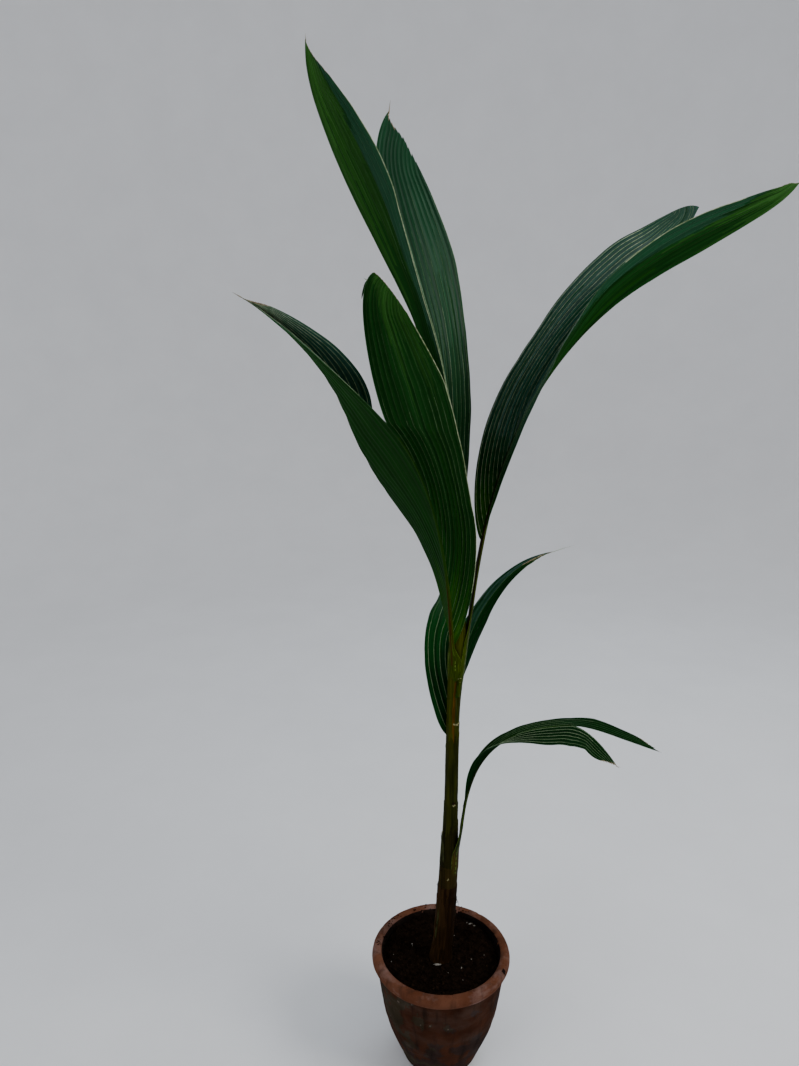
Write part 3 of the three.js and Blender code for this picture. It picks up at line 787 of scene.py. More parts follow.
def make_half(name, side):
    pleated = Pleats(name, side)
    looks = pleated.looks
    count = looks["pleats"]
    rng = np.random.default_rng(sum(map(ord, name + side)))
    w = np.linspace(0, 1, ALONG + 1)
    w = mixed(w, smooth(w), 0.25)[:, None]

    # The joints between pleats give each pleat's width, and its middle carries a vein of one size.
    joints = np.linspace(0, 1, count + 1)[None] + 0 * w
    at_joints = pleated.laid(joints, w)[2]
    pitch = np.linalg.norm(np.diff(at_joints, axis=1), axis=-1)
    narrow = np.clip((looks.get("vein", 0.5) - 0.2 * w) / np.maximum(pitch, 0.1), 0.018, 0.13)
    left = SIDE_OF_PLEAT * (0.5 - narrow[..., None])
    t = np.concatenate([left, np.full_like(left[..., :1], 0.5), 1 - left[..., ::-1]], -1)
    q = (np.arange(count)[:, None] + t) / count
    q = q.reshape(len(w), -1)
    q = np.concatenate([np.zeros_like(w), q, np.ones_like(w)], 1)
    within = np.concatenate([np.zeros_like(w), t.reshape(len(w), -1), np.ones_like(w)], 1)
    which = np.concatenate([[0], np.repeat(np.arange(count), PER_PLEAT), [count - 1]])
    place = np.concatenate([[0], np.tile(np.arange(PER_PLEAT), count) + 1, [0]])
    pitch = np.minimum(pitch[:, which], 26)

    ragged = rng.uniform(0.35, 1.0, count)[which]
    cut = looks["step"] / pleated.length * ragged * within
    cut = cut * smooth((1 - q) / 0.06) * smooth(q / 0.05) * smooth((w - 0.86) / 0.14)
    v, u, ground, up = pleated.laid(q, w, cut)

    # A pleat is a low ridge, lower at the rib and at its end, with the vein proud on its crest.
    ridge = 0.5 - np.abs(2 * within - 1) ** 1.2
    height = looks["depth"] * rng.uniform(0.7, 1.3, count)[which] * ridge
    fade = smooth(w / 0.1) * (1 - 0.5 * smooth((w - 0.9) / 0.1))
    relief = pitch * height * fade
    crest = place == (PER_PLEAT + 1) // 2
    relief = relief + np.where(crest, looks.get("crest", 0.45), 0.0) * fade * (1 - 0.7 * smooth(v / 0.9))
    sway = wobble(ground, 110.0, 3.1 * count, 2)
    relief = relief + sway * (1.0 + 1.8 * smooth((u - 0.55) / 0.45)) * smooth(w / 0.2)
    middle = ground + up * relief[..., None]
    half_thick = BLADE["thickness"] / 2 * np.where(crest, 1.8, 1.0)[None, :, None]
    top = middle + up * half_thick
    low = middle - up * half_thick

    rows, columns = ground.shape[:2]
    total = rows * columns
    faces_up = grid_faces(rows, columns, 0, flip=side == "left")
    faces_low = grid_faces(rows, columns, total, flip=side != "left")
    slots_up, slots_low = half_slots(name, pleated, rng, w, v, u, which, place)
    ring = np.concatenate([
        np.arange(columns),
        np.arange(1, rows) * columns + columns - 1,
        (rows - 1) * columns + np.arange(columns - 2, -1, -1),
        np.arange(rows - 2, 0, -1) * columns,
    ])
    after = np.roll(ring, -1)
    rim = np.stack([ring, after, after + total, ring + total], -1)
    if side != "left":
        rim = rim[:, ::-1]
    # The blade's edges are pale: partly their own pale margin, partly painted light that catches them.
    rim_slots = np.full(len(ring), MARGIN_SLOT)
    rim_slots[ring < columns] = FIRST_UNDER
    rim_slots[ring >= (rows - 1) * columns] = DRY_SLOT
    leaf_map = np.stack([q * count + rng.integers(0, 40), v], -1).reshape(-1, 2)

    parts = Parts()
    both = np.concatenate([top.reshape(-1, 3), low.reshape(-1, 3)])
    both_maps = np.concatenate([leaf_map, leaf_map])
    parts.add(both, [faces_up, faces_low, rim], [slots_up, slots_low, rim_slots], both_maps)

    add_cords(parts, looks, v, ground, middle)
    add_spikes(parts, pleated)
    if (name, side) == ("front", "left"):
        add_torn_strip(parts, pleated)
    piece = parts.made(f"{name}_leaf_{side}_lamina", LEAF_FACES, mapped=True)
    ends = ("_base", "_end") if name == "low" else ("",)
    placed(piece, "leaf_blade", *(f"{name}_leaf_{side}_blade{end}" for end in ends))


# Ribs and the sheaths that they widen into, round the stem.

def rib_shade(name, low, high):
    s = Shade(name, 0.5, Specular_IOR_Level=0.15, IOR=1.16)
    at = s.leaf_map()
    streak = s.noise(s.scaled(at, (30, 1.6, 1)), 1.0, 4, 0.62)
    base = s.mix(s.span(streak, 0.42, 0.58), low, high)
    base = s.over(base, streak, 0.58, 0.68, 0.7, times(high, 2.2))
    base = s.over(base, streak, 0.42, 0.32, 0.8, times(low, 0.3))
    return s.finish(base, streak, 0.36, 0.56, 0.0006, 0.5)


RIB_FACES = [
    rib_shade("rib_green", (0.006, 0.030, 0.002), (0.015, 0.050, 0.003)),
    rib_shade("rib_yellow_green", (0.012, 0.024, 0.0008), (0.030, 0.047, 0.0016)),
    rib_shade("rib_red_brown", (0.018, 0.0115, 0.0008), (0.040, 0.024, 0.0015)),
    rib_shade("rib_olive_brown", (0.014, 0.0105, 0.001), (0.034, 0.026, 0.003)),
    rib_shade("rib_pale_edge", (0.040, 0.075, 0.006), (0.10, 0.16, 0.025)),
    rib_shade("rib_dark", (0.005, 0.011, 0.001), (0.012, 0.020, 0.003)),
]
RIB_GREEN, RIB_YELLOW, RIB_RED_BROWN, RIB_OLIVE_BROWN, RIB_PALE_EDGE, RIB_DARK = range(len(RIB_FACES))

# Where each leaf's sheath starts on the stem, and its colours from foot to tip as (share, slot).
# Shares are -1 at the sheath's foot, 0 where the rib starts and 1 at the notch.
SHEATHS = {
    "tall": (930, [(-1, RIB_YELLOW), (0.3, RIB_GREEN)]),
    "front": (905, [(-1, RIB_YELLOW), (0.32, RIB_GREEN)]),
    "right": (868, [(-1, RIB_YELLOW), (0.08, RIB_OLIVE_BROWN), (0.4, RIB_DARK)]),
    "back": (690, [(-1, RIB_GREEN), (0.2, RIB_YELLOW), (0.6, RIB_GREEN)]),
    "low": (446, [(-1, RIB_OLIVE_BROWN), (0.0, RIB_DARK), (0.6, RIB_GREEN)]),
}
# The stretch of the red-brown streak on a sheath's outer side.
STREAKS = {"front": (-0.3, 0.27), "right": (0.1, 0.4)}


def make_rib(name):
    leaf = LEAVES[name]
    foot, tones = SHEATHS[name]
    rib = np.array(leaf["rib"], float)
    below, above = 46, 130
    z = np.linspace(foot, rib[0, 2], below, endpoint=False)
    centre = stem_centre(np.array([rib[0, 2]]))[0]
    outward = unit((rib[0] - centre) * [1, 1, 0])
    t = np.linspace(0, 1, above)
    share = np.concatenate([np.linspace(-1, 0, below, endpoint=False), t])
    # The rib stays at the stem's skin where it starts and eases onto its own line.
    skin = centre + outward * (stem_radius(centre[2]) + 0.6)
    eased = bezier(rib, t) + (skin - rib[0]) * (1 - smooth(t / 0.3))[:, None]
    lift = mixed(-0.9, 0.6, smooth((share[:below] + 1) / 0.5))
    path = np.concatenate([on_stem(z, outward, lift), eased])
    kept = path.copy()
    for _ in range(10):
        path[1:-1] = path[1:-1] * 0.5 + (path[:-2] + path[2:]) * 0.25
    path[-20:] = kept[-20:]
    tangent = unit(np.gradient(path, axis=0))
    upward = leaf_frame(leaf, tangent)[1]
    upward = mixed(-outward, upward, smooth((share + 0.1) / 0.4)[:, None])
    upward = unit(upward - tangent * np.sum(upward * tangent, -1, keepdims=True))
    sideways = np.cross(upward, tangent)

    stalk = leaf["stalk"]
    radius = stem_radius(centre[2])
    start = leaf["bladeStart"]
    places = [-1, 0, 0.5 * start, start, start + 0.2, 0.93, 1.0]
    widths = [1.25 * radius, 1.05 * radius, 0.72 * radius, 0.8 * stalk, 0.45 * stalk, 1.3, 0.4]
    if start > 0.2:
        places = [-1, 0, 0.08, 0.16, start, start + 0.2, 0.93, 1.0]
        widths = [1.25 * radius, 1.05 * radius, 0.6 * radius, stalk, 0.75 * stalk, 0.5 * stalk, 1.5, 0.4]
    half_width = np.interp(share, places, widths)
    thick = np.interp(share, [-1, -0.4, 0, 0.12, 0.3, 0.93, 1.0], [0.4, 1.0, 1.6, 3.4, 0.5 * stalk, 1.3, 0.3])
    bend = np.interp(share, [-1, 0, 0.1, 0.2], [1 / (radius + 1), 1 / (radius + 2), 0.6 / radius, 0.0])
    sides = 56
    angle = circle(sides)
    s = half_width[:, None] * np.cos(angle)[None]
    groove = 1 - 0.35 * np.clip(np.sin(angle), 0, 1) ** 2 * smooth((share[:, None] - 0.1) / 0.2)
    n = thick[:, None] * np.sin(angle)[None] * groove * (1 + 0.05 * np.cos(18 * angle)[None])
    turn = s * bend[:, None]
    safe = np.maximum(bend, 1e-5)[:, None]
    x = np.where(bend[:, None] > 1e-5, np.sin(turn) / safe, s) - n * np.sin(turn)
    y = np.where(bend[:, None] > 1e-5, (1 - np.cos(turn)) / safe, 0) + n * np.cos(turn)
    points = path[:, None] + sideways[:, None] * x[..., None] + upward[:, None] * y[..., None]
    rows = len(path)
    flat = np.concatenate([points.reshape(-1, 3), path[:1], path[-1:]])
    around = np.broadcast_to(np.cos(angle / 2) ** 2 * 0.9 + 0.1 * np.sin(angle), (rows, sides))
    leaf_map = np.stack([around, np.broadcast_to(share[:, None], (rows, sides))], -1).reshape(-1, 2)
    leaf_map = np.concatenate([leaf_map, [[0, -1], [0, 1]]])

    i, j = np.divmod(np.arange((rows - 1) * sides), sides)
    centre_angle = angle[j] + np.pi / sides
    lively = 0.06 * np.sin(5 * centre_angle) + 0.04 * np.sin(11 * centre_angle)
    at = share[i] + lively
    slots = np.full(len(i), RIB_GREEN)
    for first, slot in tones:
        slots[at >= first] = slot
    outer_side = np.sin(centre_angle) < 0
    if name in STREAKS:
        first, last = STREAKS[name]
        aside = half_width[i] * np.cos(centre_angle)
        on = (np.abs(aside) < 2.0 + 12 * lively) & outer_side
        slots[on & (at > first) & (at < last)] = RIB_RED_BROWN
    # Fine pale lines run up the sheath and along its edges.
    column = (j * 7) % sides
    fine = (column % 8 == 3) & (half_width[i] > 5) & (share[i] > -0.75 + 0.3 * np.sin(j * 1.7))
    slots[fine & outer_side & (np.sin(37 * share[i] + 5 * j) > -0.5)] = RIB_PALE_EDGE
    slots[(np.abs(np.cos(centre_angle)) > 0.988) & (share[i] < start + 0.1)] = RIB_PALE_EDGE
    slots = np.concatenate([slots, np.full(2 * sides, RIB_GREEN)])
    faces = [grid_faces(rows, sides, around=True), fans(rows, sides)]
    piece = make_mesh(f"{name}_leaf_midrib", flat, faces, RIB_FACES, slots, leaf_map)
    nodes = [f"{name}_leaf_rib"] + ([f"{name}_leaf_stalk"] if name == "low" else [])
    placed(piece, "leaf_rib", *nodes)


for leaf_name in LEAVES:
    make_rib(leaf_name)
    for leaf_side in ("left", "right"):
        make_half(leaf_name, leaf_side)


# Stem.

def stem_shade(name, low, high, roughness):
    """Dry or fresh sheath with fibres along it."""
    s = Shade(name, roughness, Specular_IOR_Level=0.15, IOR=1.16)
    at = s.place()
    fibre = s.noise(s.scaled(at, (300, 300, 7)), 1.0, 5, 0.65)
    broad = s.noise(s.scaled(at, (110, 110, 9), (4, 0, 2)), 1.0, 4, 0.6)
    base = s.mix(s.span(broad, 0.38, 0.62), low, high)
    base = s.over(base, fibre, 0.48, 0.34, 0.75, times(low, 0.3))
    base = s.over(base, fibre, 0.56, 0.7, 0.6, times(high, 2.0))
    return s.finish(base, fibre, roughness - 0.1, roughness + 0.15, 0.0012, 0.6)


TORN = {"stretch": (1, 1, 0.2)}
STEM_FACES = [
    stem_shade("stem_dark_brown", (0.0075, 0.0033, 0.0008), (0.016, 0.0075, 0.002), 0.7),
    stem_shade("stem_brown", (0.014, 0.0068, 0.0018), (0.030, 0.015, 0.0045), 0.7),
    stem_shade("stem_tan", (0.013, 0.0090, 0.0015), (0.028, 0.019, 0.004), 0.7),
    stem_shade("stem_dark_olive", (0.0055, 0.0052, 0.0005), (0.014, 0.0125, 0.0014), 0.6),
    stem_shade("stem_olive", (0.010, 0.0115, 0.0007), (0.023, 0.025, 0.0016), 0.5),
    stem_shade("stem_yellow_green", (0.017, 0.022, 0.0008), (0.038, 0.044, 0.0018), 0.45),
    stem_shade("stem_orange", (0.046, 0.021, 0.001), (0.090, 0.043, 0.0022), 0.5),
    plain_shade("sheath_rim", (0.11, 0.10, 0.035), (0.34, 0.31, 0.16), 200, 0.6, **TORN, **DULL),
    plain_shade("sheath_torn", (0.013, 0.017, 0.004), (0.045, 0.049, 0.014), 240, 0.7, **TORN, **DULL),
]
(
    DARK_BROWN, BROWN, TAN, DARK_OLIVE, OLIVE, YELLOW_GREEN, ORANGE, SHEATH_RIM, TORN_SHEATH,
) = range(len(STEM_FACES))
# Heights at which the stem's colours follow each other, from brown at its foot.
TAN_FROM, DARK_OLIVE_FROM, OLIVE_FROM, YELLOW_GREEN_FROM = 430, 478, 566, 776

# Sheath edges: height of the lowest point, rise round the stem, direction of the low side, layer
# thickness below the edge, all in millimetres and degrees, then how far round a pale rim runs.
EDGES = [
    (338, 26, 250, 1.1, 0), (393, 20, 70, 1.0, 0), (430, 3, 255, 1.4, 0), (479, 8, 240, 1.3, 0),
    (556, 30, 180, 1.0, 16), (626, 5, 292, 0.9, 12), (704, 30, 110, 0.8, 0), (775, 14, 230, 0.7, 0),
    (808, 7, 300, 1.1, 34), (862, 24, 200, 0.8, 0), (924, 8, 292, 1.0, 36),
]

# Torn strips that lie on the sheaths: heights, direction, half width, lift and lift at the top.
# The one at PALE_STRIP is as pale as a sheath's rim.
STRIPS = [
    (475, 560, 192, 4.2, 0.6, 2.2), (492, 545, 222, 2.0, 0.8, 0.9), (452, 458, 262, 1.2, 0.9, 0.9),
    (500, 640, 205, 2.4, 0.3, 0.6), (640, 770, 335, 1.6, 0.4, 0.5), (805, 880, 284, 0.7, 0.5, 0.4),
    (812, 905, 312, 0.8, 0.5, 0.4), (300, 380, 215, 2.6, 0.5, 1.6), (350, 428, 20, 3.4, 0.6, 1.6),
    (345, 420, 120, 3.0, 0.6, 1.4), (420, 520, 95, 2.6, 0.5, 1.2), (585, 700, 75, 2.0, 0.4, 1.0),
]
PALE_STRIP = 2

# Short pale scars round the stem: height, first and last direction, lift.
SCARS = [(909, 282, 312, 1.6), (901, 290, 306, 1.4), (806, 296, 314, 0.9)]

# Loose fibres: where each starts and how far it reaches.
FIBRES = [
    ((29, -17, 396), (7, -5, 9)), ((31, -12, 402), (5, -2, -12)), ((-7, -6, 428), (-5, -3, 11)),
    ((-9, 3, 380), (-6, 1, -10)), ((22, 16, 430), (3, 6, 12)), ((-2, -12, 470), (-3, -4, 10)),
]


def make_stem():
    sides, rows = 128, 560
    z = np.linspace(STEM["heights"][0], STEM["heights"][-1], rows)
    centre = stem_centre(z)
    zz, aa = np.meshgrid(z, circle(sides), indexing="ij")
    layers = np.zeros_like(zz)
    rim = np.zeros_like(zz, bool)
    for low, rise, direction, thick, reach in EDGES:
        off = aa - math.radians(direction)
        edge = low + rise * (0.5 - 0.5 * np.cos(off))
        edge = edge + 0.7 * np.sin(5 * aa + low) + 0.5 * np.sin(17 * aa + 2 * low)
        below = edge - zz
        layers += thick * smooth(below / 1.4) * np.exp(-np.maximum(below, 0) / 70)
        if reach:
            rim |= (np.cos(off) > math.cos(math.radians(reach))) & (below > -0.6) & (below < 2.0)
    skin = np.stack([np.cos(aa) * 20, np.sin(aa) * 20, zz], -1)
    grooves = wobble(skin * [1, 1, 0.05], 4.5, 2.0, 3)
    knots = wobble(skin * [1, 1, 0.6], 24.0, 7.0, 3)
    rough = 0.5 + 0.5 * (1 - smooth((zz - 260) / 250))
    body = stem_radius(z)[:, None] - 1.0 + layers + (grooves * 0.8 + knots * 0.7) * rough
    body = body * (1 + 0.07 * np.cos(aa - 0.5) ** 2 * smooth((330 - zz) / 70))
    body = np.maximum(body, 0.8)
    points = np.stack([centre[:, None, 0] + np.cos(aa) * body, np.sin(aa) * body, zz], -1).reshape(-1, 3)
    ends = np.array([[centre[0, 0], 0, z[0]], [centre[-1, 0], 0, z[-1] + 1]])
    quads = grid_faces(rows, sides, around=True)
    caps = fans(rows, sides)

    # Each stretch has its own colour, and they meet in streaks along the fibres.
    a = np.degrees(aa[:-1]) % 360
    at = zz[:-1]
    ragged = grooves[:-1] * 20 + knots[:-1] * 10
    slots = np.full(at.shape, OLIVE)
    slots[at + ragged > YELLOW_GREEN_FROM] = YELLOW_GREEN
    slots[at + ragged < OLIVE_FROM] = DARK_OLIVE
    slots[at < DARK_OLIVE_FROM] = TAN
    lower = at < TAN_FROM
    # Low on the stem one side is a darker brown than the other: painted shade.
    shady_side = (a + ragged * 2 > 268) | (a + ragged * 2 < 60)
    slots[lower] = np.where(shady_side, DARK_BROWN, BROWN)[lower]
    slots[(np.abs(a - 268 + ragged * 0.3) < 9) & (at > 780 + ragged) & (at < 900)] = ORANGE
    slots[((a - 290) / 16) ** 2 + ((at - 629) / 3.5) ** 2 < 1] = DARK_BROWN
    slots[rim[:-1]] = SHEATH_RIM
    slots = np.concatenate([slots.ravel(), np.full(len(caps), YELLOW_GREEN)])
    piece = make_mesh("stem_sheaths", np.concatenate([points, ends]), [quads, caps], STEM_FACES, slots)
    placed(piece, "stem", "stem")


def make_torn_strips():
    """The strips, scars and loose fibres on the stem."""
    parts = Parts()
    s = np.linspace(0, 1, 24)
    for number, (low, high, direction, half_width, lift, end_lift) in enumerate(STRIPS):
        out = level(np.radians(direction + 5 * np.sin(3 * s + low)))
        path = on_stem(np.linspace(low, high, 24), out, lift + end_lift * smooth((s - 0.7) / 0.3))
        radii = half_width * np.interp(s, [0, 0.12, 0.8, 1], [0.15, 1, 0.8, 0.1])
        slot = SHEATH_RIM if number == PALE_STRIP else TORN_SHEATH
        parts.tube(path, radii, 8, slot, np.cross(out, UPRIGHT), 0.22)
    for height, first, last, lift in SCARS:
        out = level(np.radians(np.linspace(first, last, 12)))
        path = on_stem(height + 1.2 * np.sin(np.linspace(0, math.pi, 12)), out, lift)
        parts.tube(path, 0.9 * np.sin(np.linspace(0.3, math.pi - 0.3, 12)), 8, SHEATH_RIM, UPRIGHT)
    s = np.linspace(0, 1, 10)[:, None]
    for base, reach in FIBRES:
        path = np.array(base, float) + np.array(reach) * s + np.array([0, 0, -4.0]) * s * s
        parts.tube(path, np.linspace(0.8, 0.15, 10), 8, DARK_BROWN)
    placed(parts.made("stem_torn_strips", STEM_FACES), "stem")


make_stem()
make_torn_strips()


# Pot and soil.

def clay_shade(name, low, high, bloom, bloom_share, stain, stain_share):
    s = Shade(name, 0.88, Specular_IOR_Level=0.12, IOR=1.2)
    at = s.place()
    grain = s.noise(at, 420, 5, 0.6)
    patch = s.noise(at, 13, 5, 0.62)
    cloud = s.noise(s.scaled(at, (11, 11, 26), (5, 1, 0)), 1.0, 6, 0.65)
    runs = s.noise(s.scaled(at, (60, 60, 6), (1, 8, 3)), 1.0, 5, 0.6)
    base = s.mix(s.span(patch, 0.35, 0.65), low, high)
    base = s.over(base, cloud, 0.48, 0.7, bloom_share, bloom)
    base = s.over(base, runs, 0.5, 0.72, stain_share, stain)
    speck = s.noise(at, 190, 3, 0.7)
    base = s.over(base, speck, 0.68, 0.78, 0.45, times(bloom, 1.2))
    base = s.over(base, speck, 0.34, 0.26, 0.7, times(low, 0.3))
    return s.finish(base, grain, 0.8, 0.95, 0.0008, 0.6)


# Each clay: two base colours, the pale bloom on it and its share, the stain that runs down it and
# its share.
CLAYS = {
    "rim": (
        (0.078, 0.026, 0.012), (0.125, 0.050, 0.028), (0.19, 0.12, 0.105), 0.9,
        (0.028, 0.016, 0.011), 0.7,
    ),
    # The body's clay is far darker than the rim's: partly its stains, partly painted shade on the sides,
    # which face away from the light.
    "body": (
        (0.024, 0.0080, 0.0035), (0.050, 0.017, 0.008), (0.055, 0.036, 0.028), 0.5,
        (0.009, 0.006, 0.004), 0.9,
    ),
    # The inside above the soil is near black: painted shade.
    "inside": (
        (0.004, 0.0025, 0.0018), (0.012, 0.007, 0.005), (0.030, 0.020, 0.015), 0.3,
        (0.003, 0.002, 0.002), 0.9,
    ),
    "green": (
        (0.019, 0.0135, 0.0072), (0.034, 0.025, 0.0150), (0.065, 0.055, 0.042), 0.5,
        (0.010, 0.008, 0.005), 0.8,
    ),
    "salt": (
        (0.050, 0.036, 0.027), (0.095, 0.072, 0.058), (0.14, 0.115, 0.097), 0.5,
        (0.025, 0.018, 0.014), 0.5,
    ),
    "purple": (
        (0.017, 0.0092, 0.0075), (0.032, 0.018, 0.0145), (0.055, 0.042, 0.038), 0.4,
        (0.008, 0.006, 0.005), 0.7,
    ),
}
CLAY_FACES = [clay_shade(f"clay_{name}", *values) for name, values in CLAYS.items()]
CLAY_RIM, CLAY_BODY, CLAY_INSIDE, CLAY_GREEN, CLAY_SALT, CLAY_PURPLE = range(len(CLAYS))

# Nicks in the rim, painted with the near black inside clay as painted shade in the chips: place and size.
NICKS = [(129, -66, 5.5), (-139, 17, 3.0), (-96, 104, 2.6)]
# Heights of the lip's lower edge and of the top of the pot's dark inside, which is painted shade.
LIP_FROM, INSIDE_TO = 255, 264


def turned(profile, sides, spacing):
    """A turned surface through a profile of (radius, height), closed on the axis."""
    p = np.array(profile, float)
    out = [p[0]]
    for a, b in zip(p[:-1], p[1:]):
        steps = max(1, int(np.linalg.norm(b - a) / spacing))
        for i in range(1, steps + 1):
            out.append(a + (b - a) * i / steps)
    line = np.array(out)
    core = line[1:-1].copy()
    for _ in range(2):
        core[1:-1] = core[1:-1] * 0.5 + (core[:-2] + core[2:]) * 0.25
    return swept(core, sides), line[0], line[-1]


def make_pot():
    grid, first, last = turned(POT["profile"], POT["sides"], 3.6)
    rows, sides = grid.shape[:2]
    flat = grid.reshape(-1, 3)
    out = unit(flat * [1, 1, 0])
    r = np.linalg.norm(flat[:, :2], axis=1)
    row = np.repeat(np.arange(rows), sides)
    rim_row = int(np.argmax(grid[:, 0, 2]))
    outside = (row <= rim_row) & (flat[:, 2] > 6)
    uneven = wobble(flat, 45.0, 1.0, 2) * 0.6 + wobble(flat, 9.0, 5.0, 2) * 0.2
    rings = 0.22 * np.sin(flat[:, 2] * 0.55 + 2 * np.sin(flat[:, 2] * 0.07))
    pits = np.minimum(0, wobble(flat, 5.0, 9.0, 2) + 0.35) * 1.2
    flat = flat + out * ((uneven + rings + pits) * outside)[:, None]
    chips = np.minimum(0, wobble(flat, 11.0, 14.0, 2) + 0.42) * 5.0
    top = smooth((flat[:, 2] - 258) / 10) * (r > 122)
    flat[:, 2] += (wobble(flat, 30.0, 4.0, 2) * 0.5 - 0.5 + chips) * top
    for x, y, size in NICKS:
        away = np.hypot(flat[:, 0] - x, (flat[:, 1] - y) * 1.3)
        flat[:, 2] -= 2.2 * smooth(1.3 - away / size) * top
    points = np.concatenate([flat, [[0, 0, first[1]], [0, 0, last[1]]]])
    quads = grid_faces(rows, sides, around=True)
    caps = fans(rows, sides)

    middle = flat[quads].mean(1)
    angle = np.degrees(np.arctan2(middle[:, 1], middle[:, 0])) % 360
    z = middle[:, 2]
    on_row = row[quads[:, 0]]
    blot = wobble(middle, 42.0, 21.0, 5)
    spots = wobble(middle, 8.0, 33.0, 3)
    slots = np.full(len(quads), CLAY_RIM)
    body = z < POT["rim"]
    slots[body] = CLAY_BODY
    slots[body & (blot + (165 - z) / 200 > 0.28)] = CLAY_PURPLE
    left = np.cos(np.radians(angle - 195))
    slots[body & (left > 0.1) & (blot + 0.75 * left + 0.15 * spots > 0.62)] = CLAY_GREEN
    slots[body & (spots > 0.75) & (blot + 0.3 * left > 0.25)] = CLAY_SALT
    # The inside below the top and the nicks in the lip take the near black inside clay: painted shade.
    slots[(on_row >= rim_row) & (z + spots * 2 < INSIDE_TO)] = CLAY_INSIDE
    for x, y, size in NICKS:
        away = np.hypot(middle[:, 0] - x, (middle[:, 1] - y) * 1.3)
        slots[(z > LIP_FROM) & (away < size)] = CLAY_INSIDE
    slots = np.concatenate([slots, np.full(len(caps), CLAY_BODY)])
    piece = make_mesh("clay_pot", points, [quads, caps], CLAY_FACES, slots)
    placed(piece, "pot", "pot")


def ground_height(x, y):
    """The soil's height in millimetres: a rise round the stem and a bank at the pot's far side."""
    r = np.hypot(x, y)
    flat = np.stack([x, y, np.zeros_like(x)], -1)
    rise = SOIL["rise"] * np.exp(-((r / 40) ** 2)) - 3.0 * smooth((r - 100) / 25)
    bank = 13.0 * smooth((r - 60) / 60) * smooth((y + 20) / 120)
    return SOIL["top"] - 2 + rise + bank + wobble(flat, 22.0, 3.0, 3) * 2.2 + wobble(flat, 6.0, 8.0, 2) * 1.0


MATT = {"Specular_IOR_Level": 0.08, "IOR": 1.1}
SOIL_FACES = [
    plain_shade("soil_dark", (0.0030, 0.0016, 0.0010), (0.010, 0.0055, 0.0032), 90, 0.95, 0.0012, **MATT),
    plain_shade("soil_brown", (0.005, 0.0028, 0.0015), (0.016, 0.009, 0.005), 90, 0.95, 0.0012, **MATT),
    plain_shade("pale_pebble", (0.10, 0.09, 0.075), (0.34, 0.32, 0.28), 150, 0.7, **MATT),
]

# Pebbles seen on the soil: place, size and stretch.
PEBBLES = [
    ((-8, -25), 3.4, (2.3, 1.0, 0.8)), ((72, 92), 3.0, (1.5, 0.8, 0.8)), ((80, 86), 2.0, (1.4, 1, 0.8)),
    ((64, 96), 1.8, (1, 1, 0.8)), ((-62, 40), 1.6, (1.3, 1, 0.7)), ((44, -66), 1.3, (1, 1, 0.7)),
]


def make_soil():
    sides, rows = 200, 70
    radius = np.linspace(0, SOIL["radius"] - 0.4, rows + 1)[1:]
    rr, aa = np.meshgrid(radius, circle(sides), indexing="ij")
    x, y = rr * np.cos(aa), rr * np.sin(aa)
    top = np.stack([x, y, ground_height(x, y)], -1)
    wall = top[-1:].copy()
    wall[..., 2] = SOIL["foot"]
    flat = np.concatenate([top, wall]).reshape(-1, 3)
    heart = float(ground_height(np.zeros(1), np.zeros(1))[0])
    points = np.concatenate([flat, [[0, 0, heart], [0, 0, SOIL["foot"]]]])
    faces = [grid_faces(rows + 1, sides, around=True, flip=True), fans(rows + 1, sides, flip=True)]
    piece = make_mesh("soil_surface", points, faces, SOIL_FACES[:1])
    placed(piece, "soil", "soil")
    scatter("soil_crumbs", 1500, (1.0, 3.8), 121, SOIL_FACES[0])
    scatter("soil_clods", 190, (1.5, 4.6), 118, SOIL_FACES[1])
    scatter("pebbles", 9, (1.0, 2.2), 112, SOIL_FACES[2], PEBBLES)
    lumps = []
    for _ in range(260):
        a = random.uniform(0, 2 * math.pi)
        z = random.uniform(248, 267) if math.sin(a) > 0.2 else random.uniform(245, 259)
        r = float(np.interp(z, [256, 261, 266], [125.2, 126.4, 128.4]))
        lumps.append(lump((r * math.cos(a), r * math.sin(a), z), random.uniform(0.7, 2.2), 1))
    # Crumbs lie on the far side of the rim too.
    for _ in range(44):
        a = math.radians(random.choice([68, 106, 112, 140, 150, 172]) + random.normal(0, 5))
        r = random.uniform(130, 142)
        lumps.append(lump((r * math.cos(a), r * math.sin(a), 269.2), random.uniform(0.6, 1.8), 1))
    joined("soil_on_wall", lumps, SOIL_FACES[0])


def joined(name, lumps, face):
    starts = np.cumsum([0] + [len(p) for p, _ in lumps])
    points = np.concatenate([p for p, _ in lumps])
    faces = np.concatenate([f + start for (_, f), start in zip(lumps, starts)])
    placed(make_mesh(name, points, [faces], [face]), "soil")


def scatter(name, count, sizes, reach, face, extra=()):
    places = []
    for _ in range(count):
        r = reach * math.sqrt(random.uniform(0.06, 1))
        a = random.uniform(0, 2 * math.pi)
        size = random.uniform(*sizes) * random.uniform(0.6, 1)
        places.append(((r * math.cos(a), r * math.sin(a)), size, (1, 1, 1)))
    places.extend(extra)
    lumps = []
    for (x, y), size, stretch in places:
        z = float(ground_height(np.array([x], float), np.array([y], float))[0])
        p, f = lump((0, 0, 0), size, 1 if size > 1.5 else 0)
        lumps.append((p * stretch + [x, y, z + size * 0.15], f))
    joined(name, lumps, face)


make_pot()
make_soil()


# Stage, light and camera.

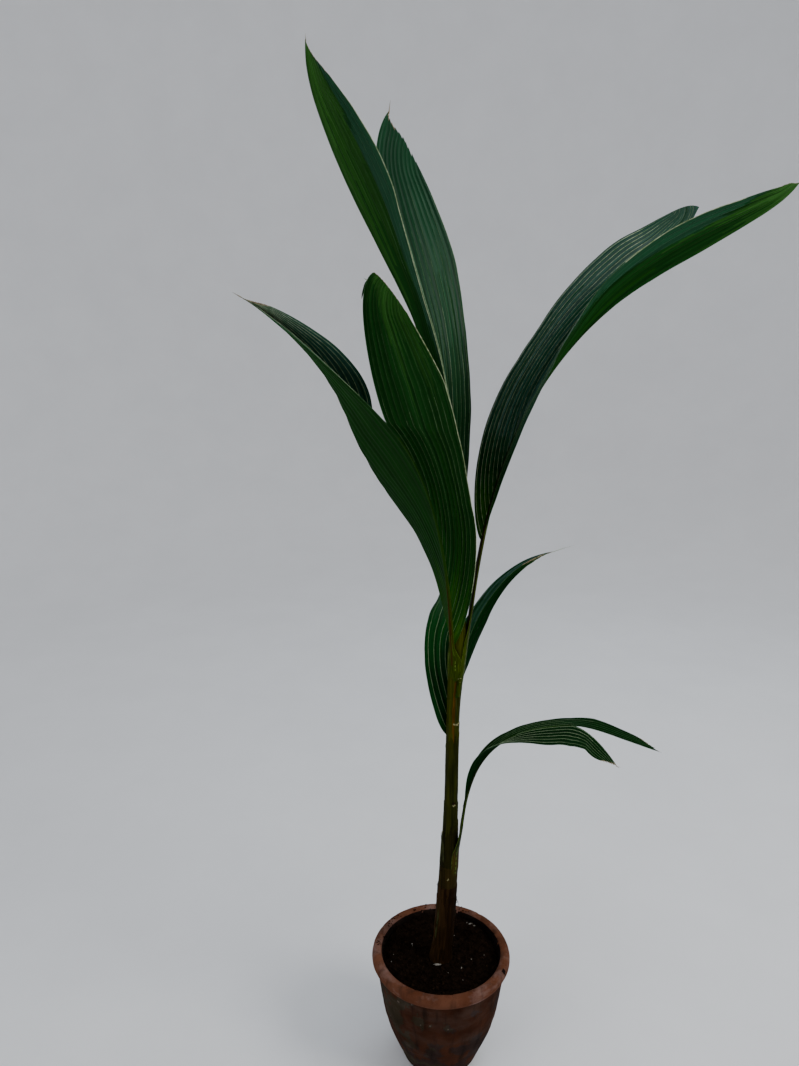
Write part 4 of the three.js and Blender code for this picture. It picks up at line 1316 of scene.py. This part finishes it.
def make_stage():
    """A pale round floor that curves up all round, far enough out for every view."""
    inner, flat, curve, height, steps, sides = 1.0, 3.4, 2.4, 6.0, 12, 96
    profile = [(inner, 0.0), (flat, 0.0)]
    for i in range(1, steps + 1):
        a = math.pi / 2 * i / steps
        profile.append((flat + curve * math.sin(a), curve * (1 - math.cos(a))))
    profile.append((flat + curve, height))
    grid = swept(np.array(profile) / MM, sides)
    points = np.concatenate([grid.reshape(-1, 3), [[0, 0, 0]]])
    centre = fans(len(grid), sides, flip=True)[:sides]
    faces = [grid_faces(len(grid), sides, around=True, flip=True), centre]
    face = plain_shade("pale_floor", (0.80, 0.80, 0.81), (0.83, 0.83, 0.84), 3, 0.9, bump=0.0002)
    floor = make_mesh("pale_stage", points, faces, [face])


# Each light: place, what it points at, size, energy and colour.
LIGHTS = {
    "key": ((2.6, -1.2, 3.0), (0, 0, 1.2), 1.6, 70, (1.0, 0.985, 0.96)),
    "fill": ((-2.3, -2.2, 2.0), (0, 0, 1.0), 2.2, 24, (0.95, 0.975, 1.0)),
    "sky": ((1.2, 2.0, 3.4), (0.2, 0, 1.5), 2.4, 32, (0.74, 0.87, 1.0)),
}
WORLD_COLOUR, WORLD_STRENGTH = (0.93, 0.96, 1.0, 1), 0.6
# The photo's view: where the camera stands, how far it is tilted up from straight down, its lens
# and its sensor.
CAMERA_PLACE, CAMERA_TILT, CAMERA_LENS, CAMERA_SENSOR = (-0.09, -1.583, 1.622), 75.16, 29.1, 36


def area_light(name, place, target, size, energy, colour):
    light = bpy.data.lights.new(name, "AREA")
    light.shape = "DISK"
    light.size = size
    light.energy = energy
    light.color = colour
    ob = linked(name, light)
    ob.location = place
    ob.rotation_euler = (Vector(target) - Vector(place)).to_track_quat("-Z", "Y").to_euler()


make_stage()
world = bpy.data.worlds.new("soft_sky")
world.use_nodes = True
world.node_tree.nodes["Background"].inputs["Color"].default_value = WORLD_COLOUR
world.node_tree.nodes["Background"].inputs["Strength"].default_value = WORLD_STRENGTH
bpy.context.scene.world = world
for light_name, values in LIGHTS.items():
    area_light(light_name, *values)

camera = bpy.data.cameras.new("camera")
camera.lens = CAMERA_LENS
camera.sensor_width = CAMERA_SENSOR
camera_object = linked("camera", camera)
camera_object.location = CAMERA_PLACE
camera_object.rotation_euler = (math.radians(CAMERA_TILT), 0, 0)
bpy.context.scene.camera = camera_object
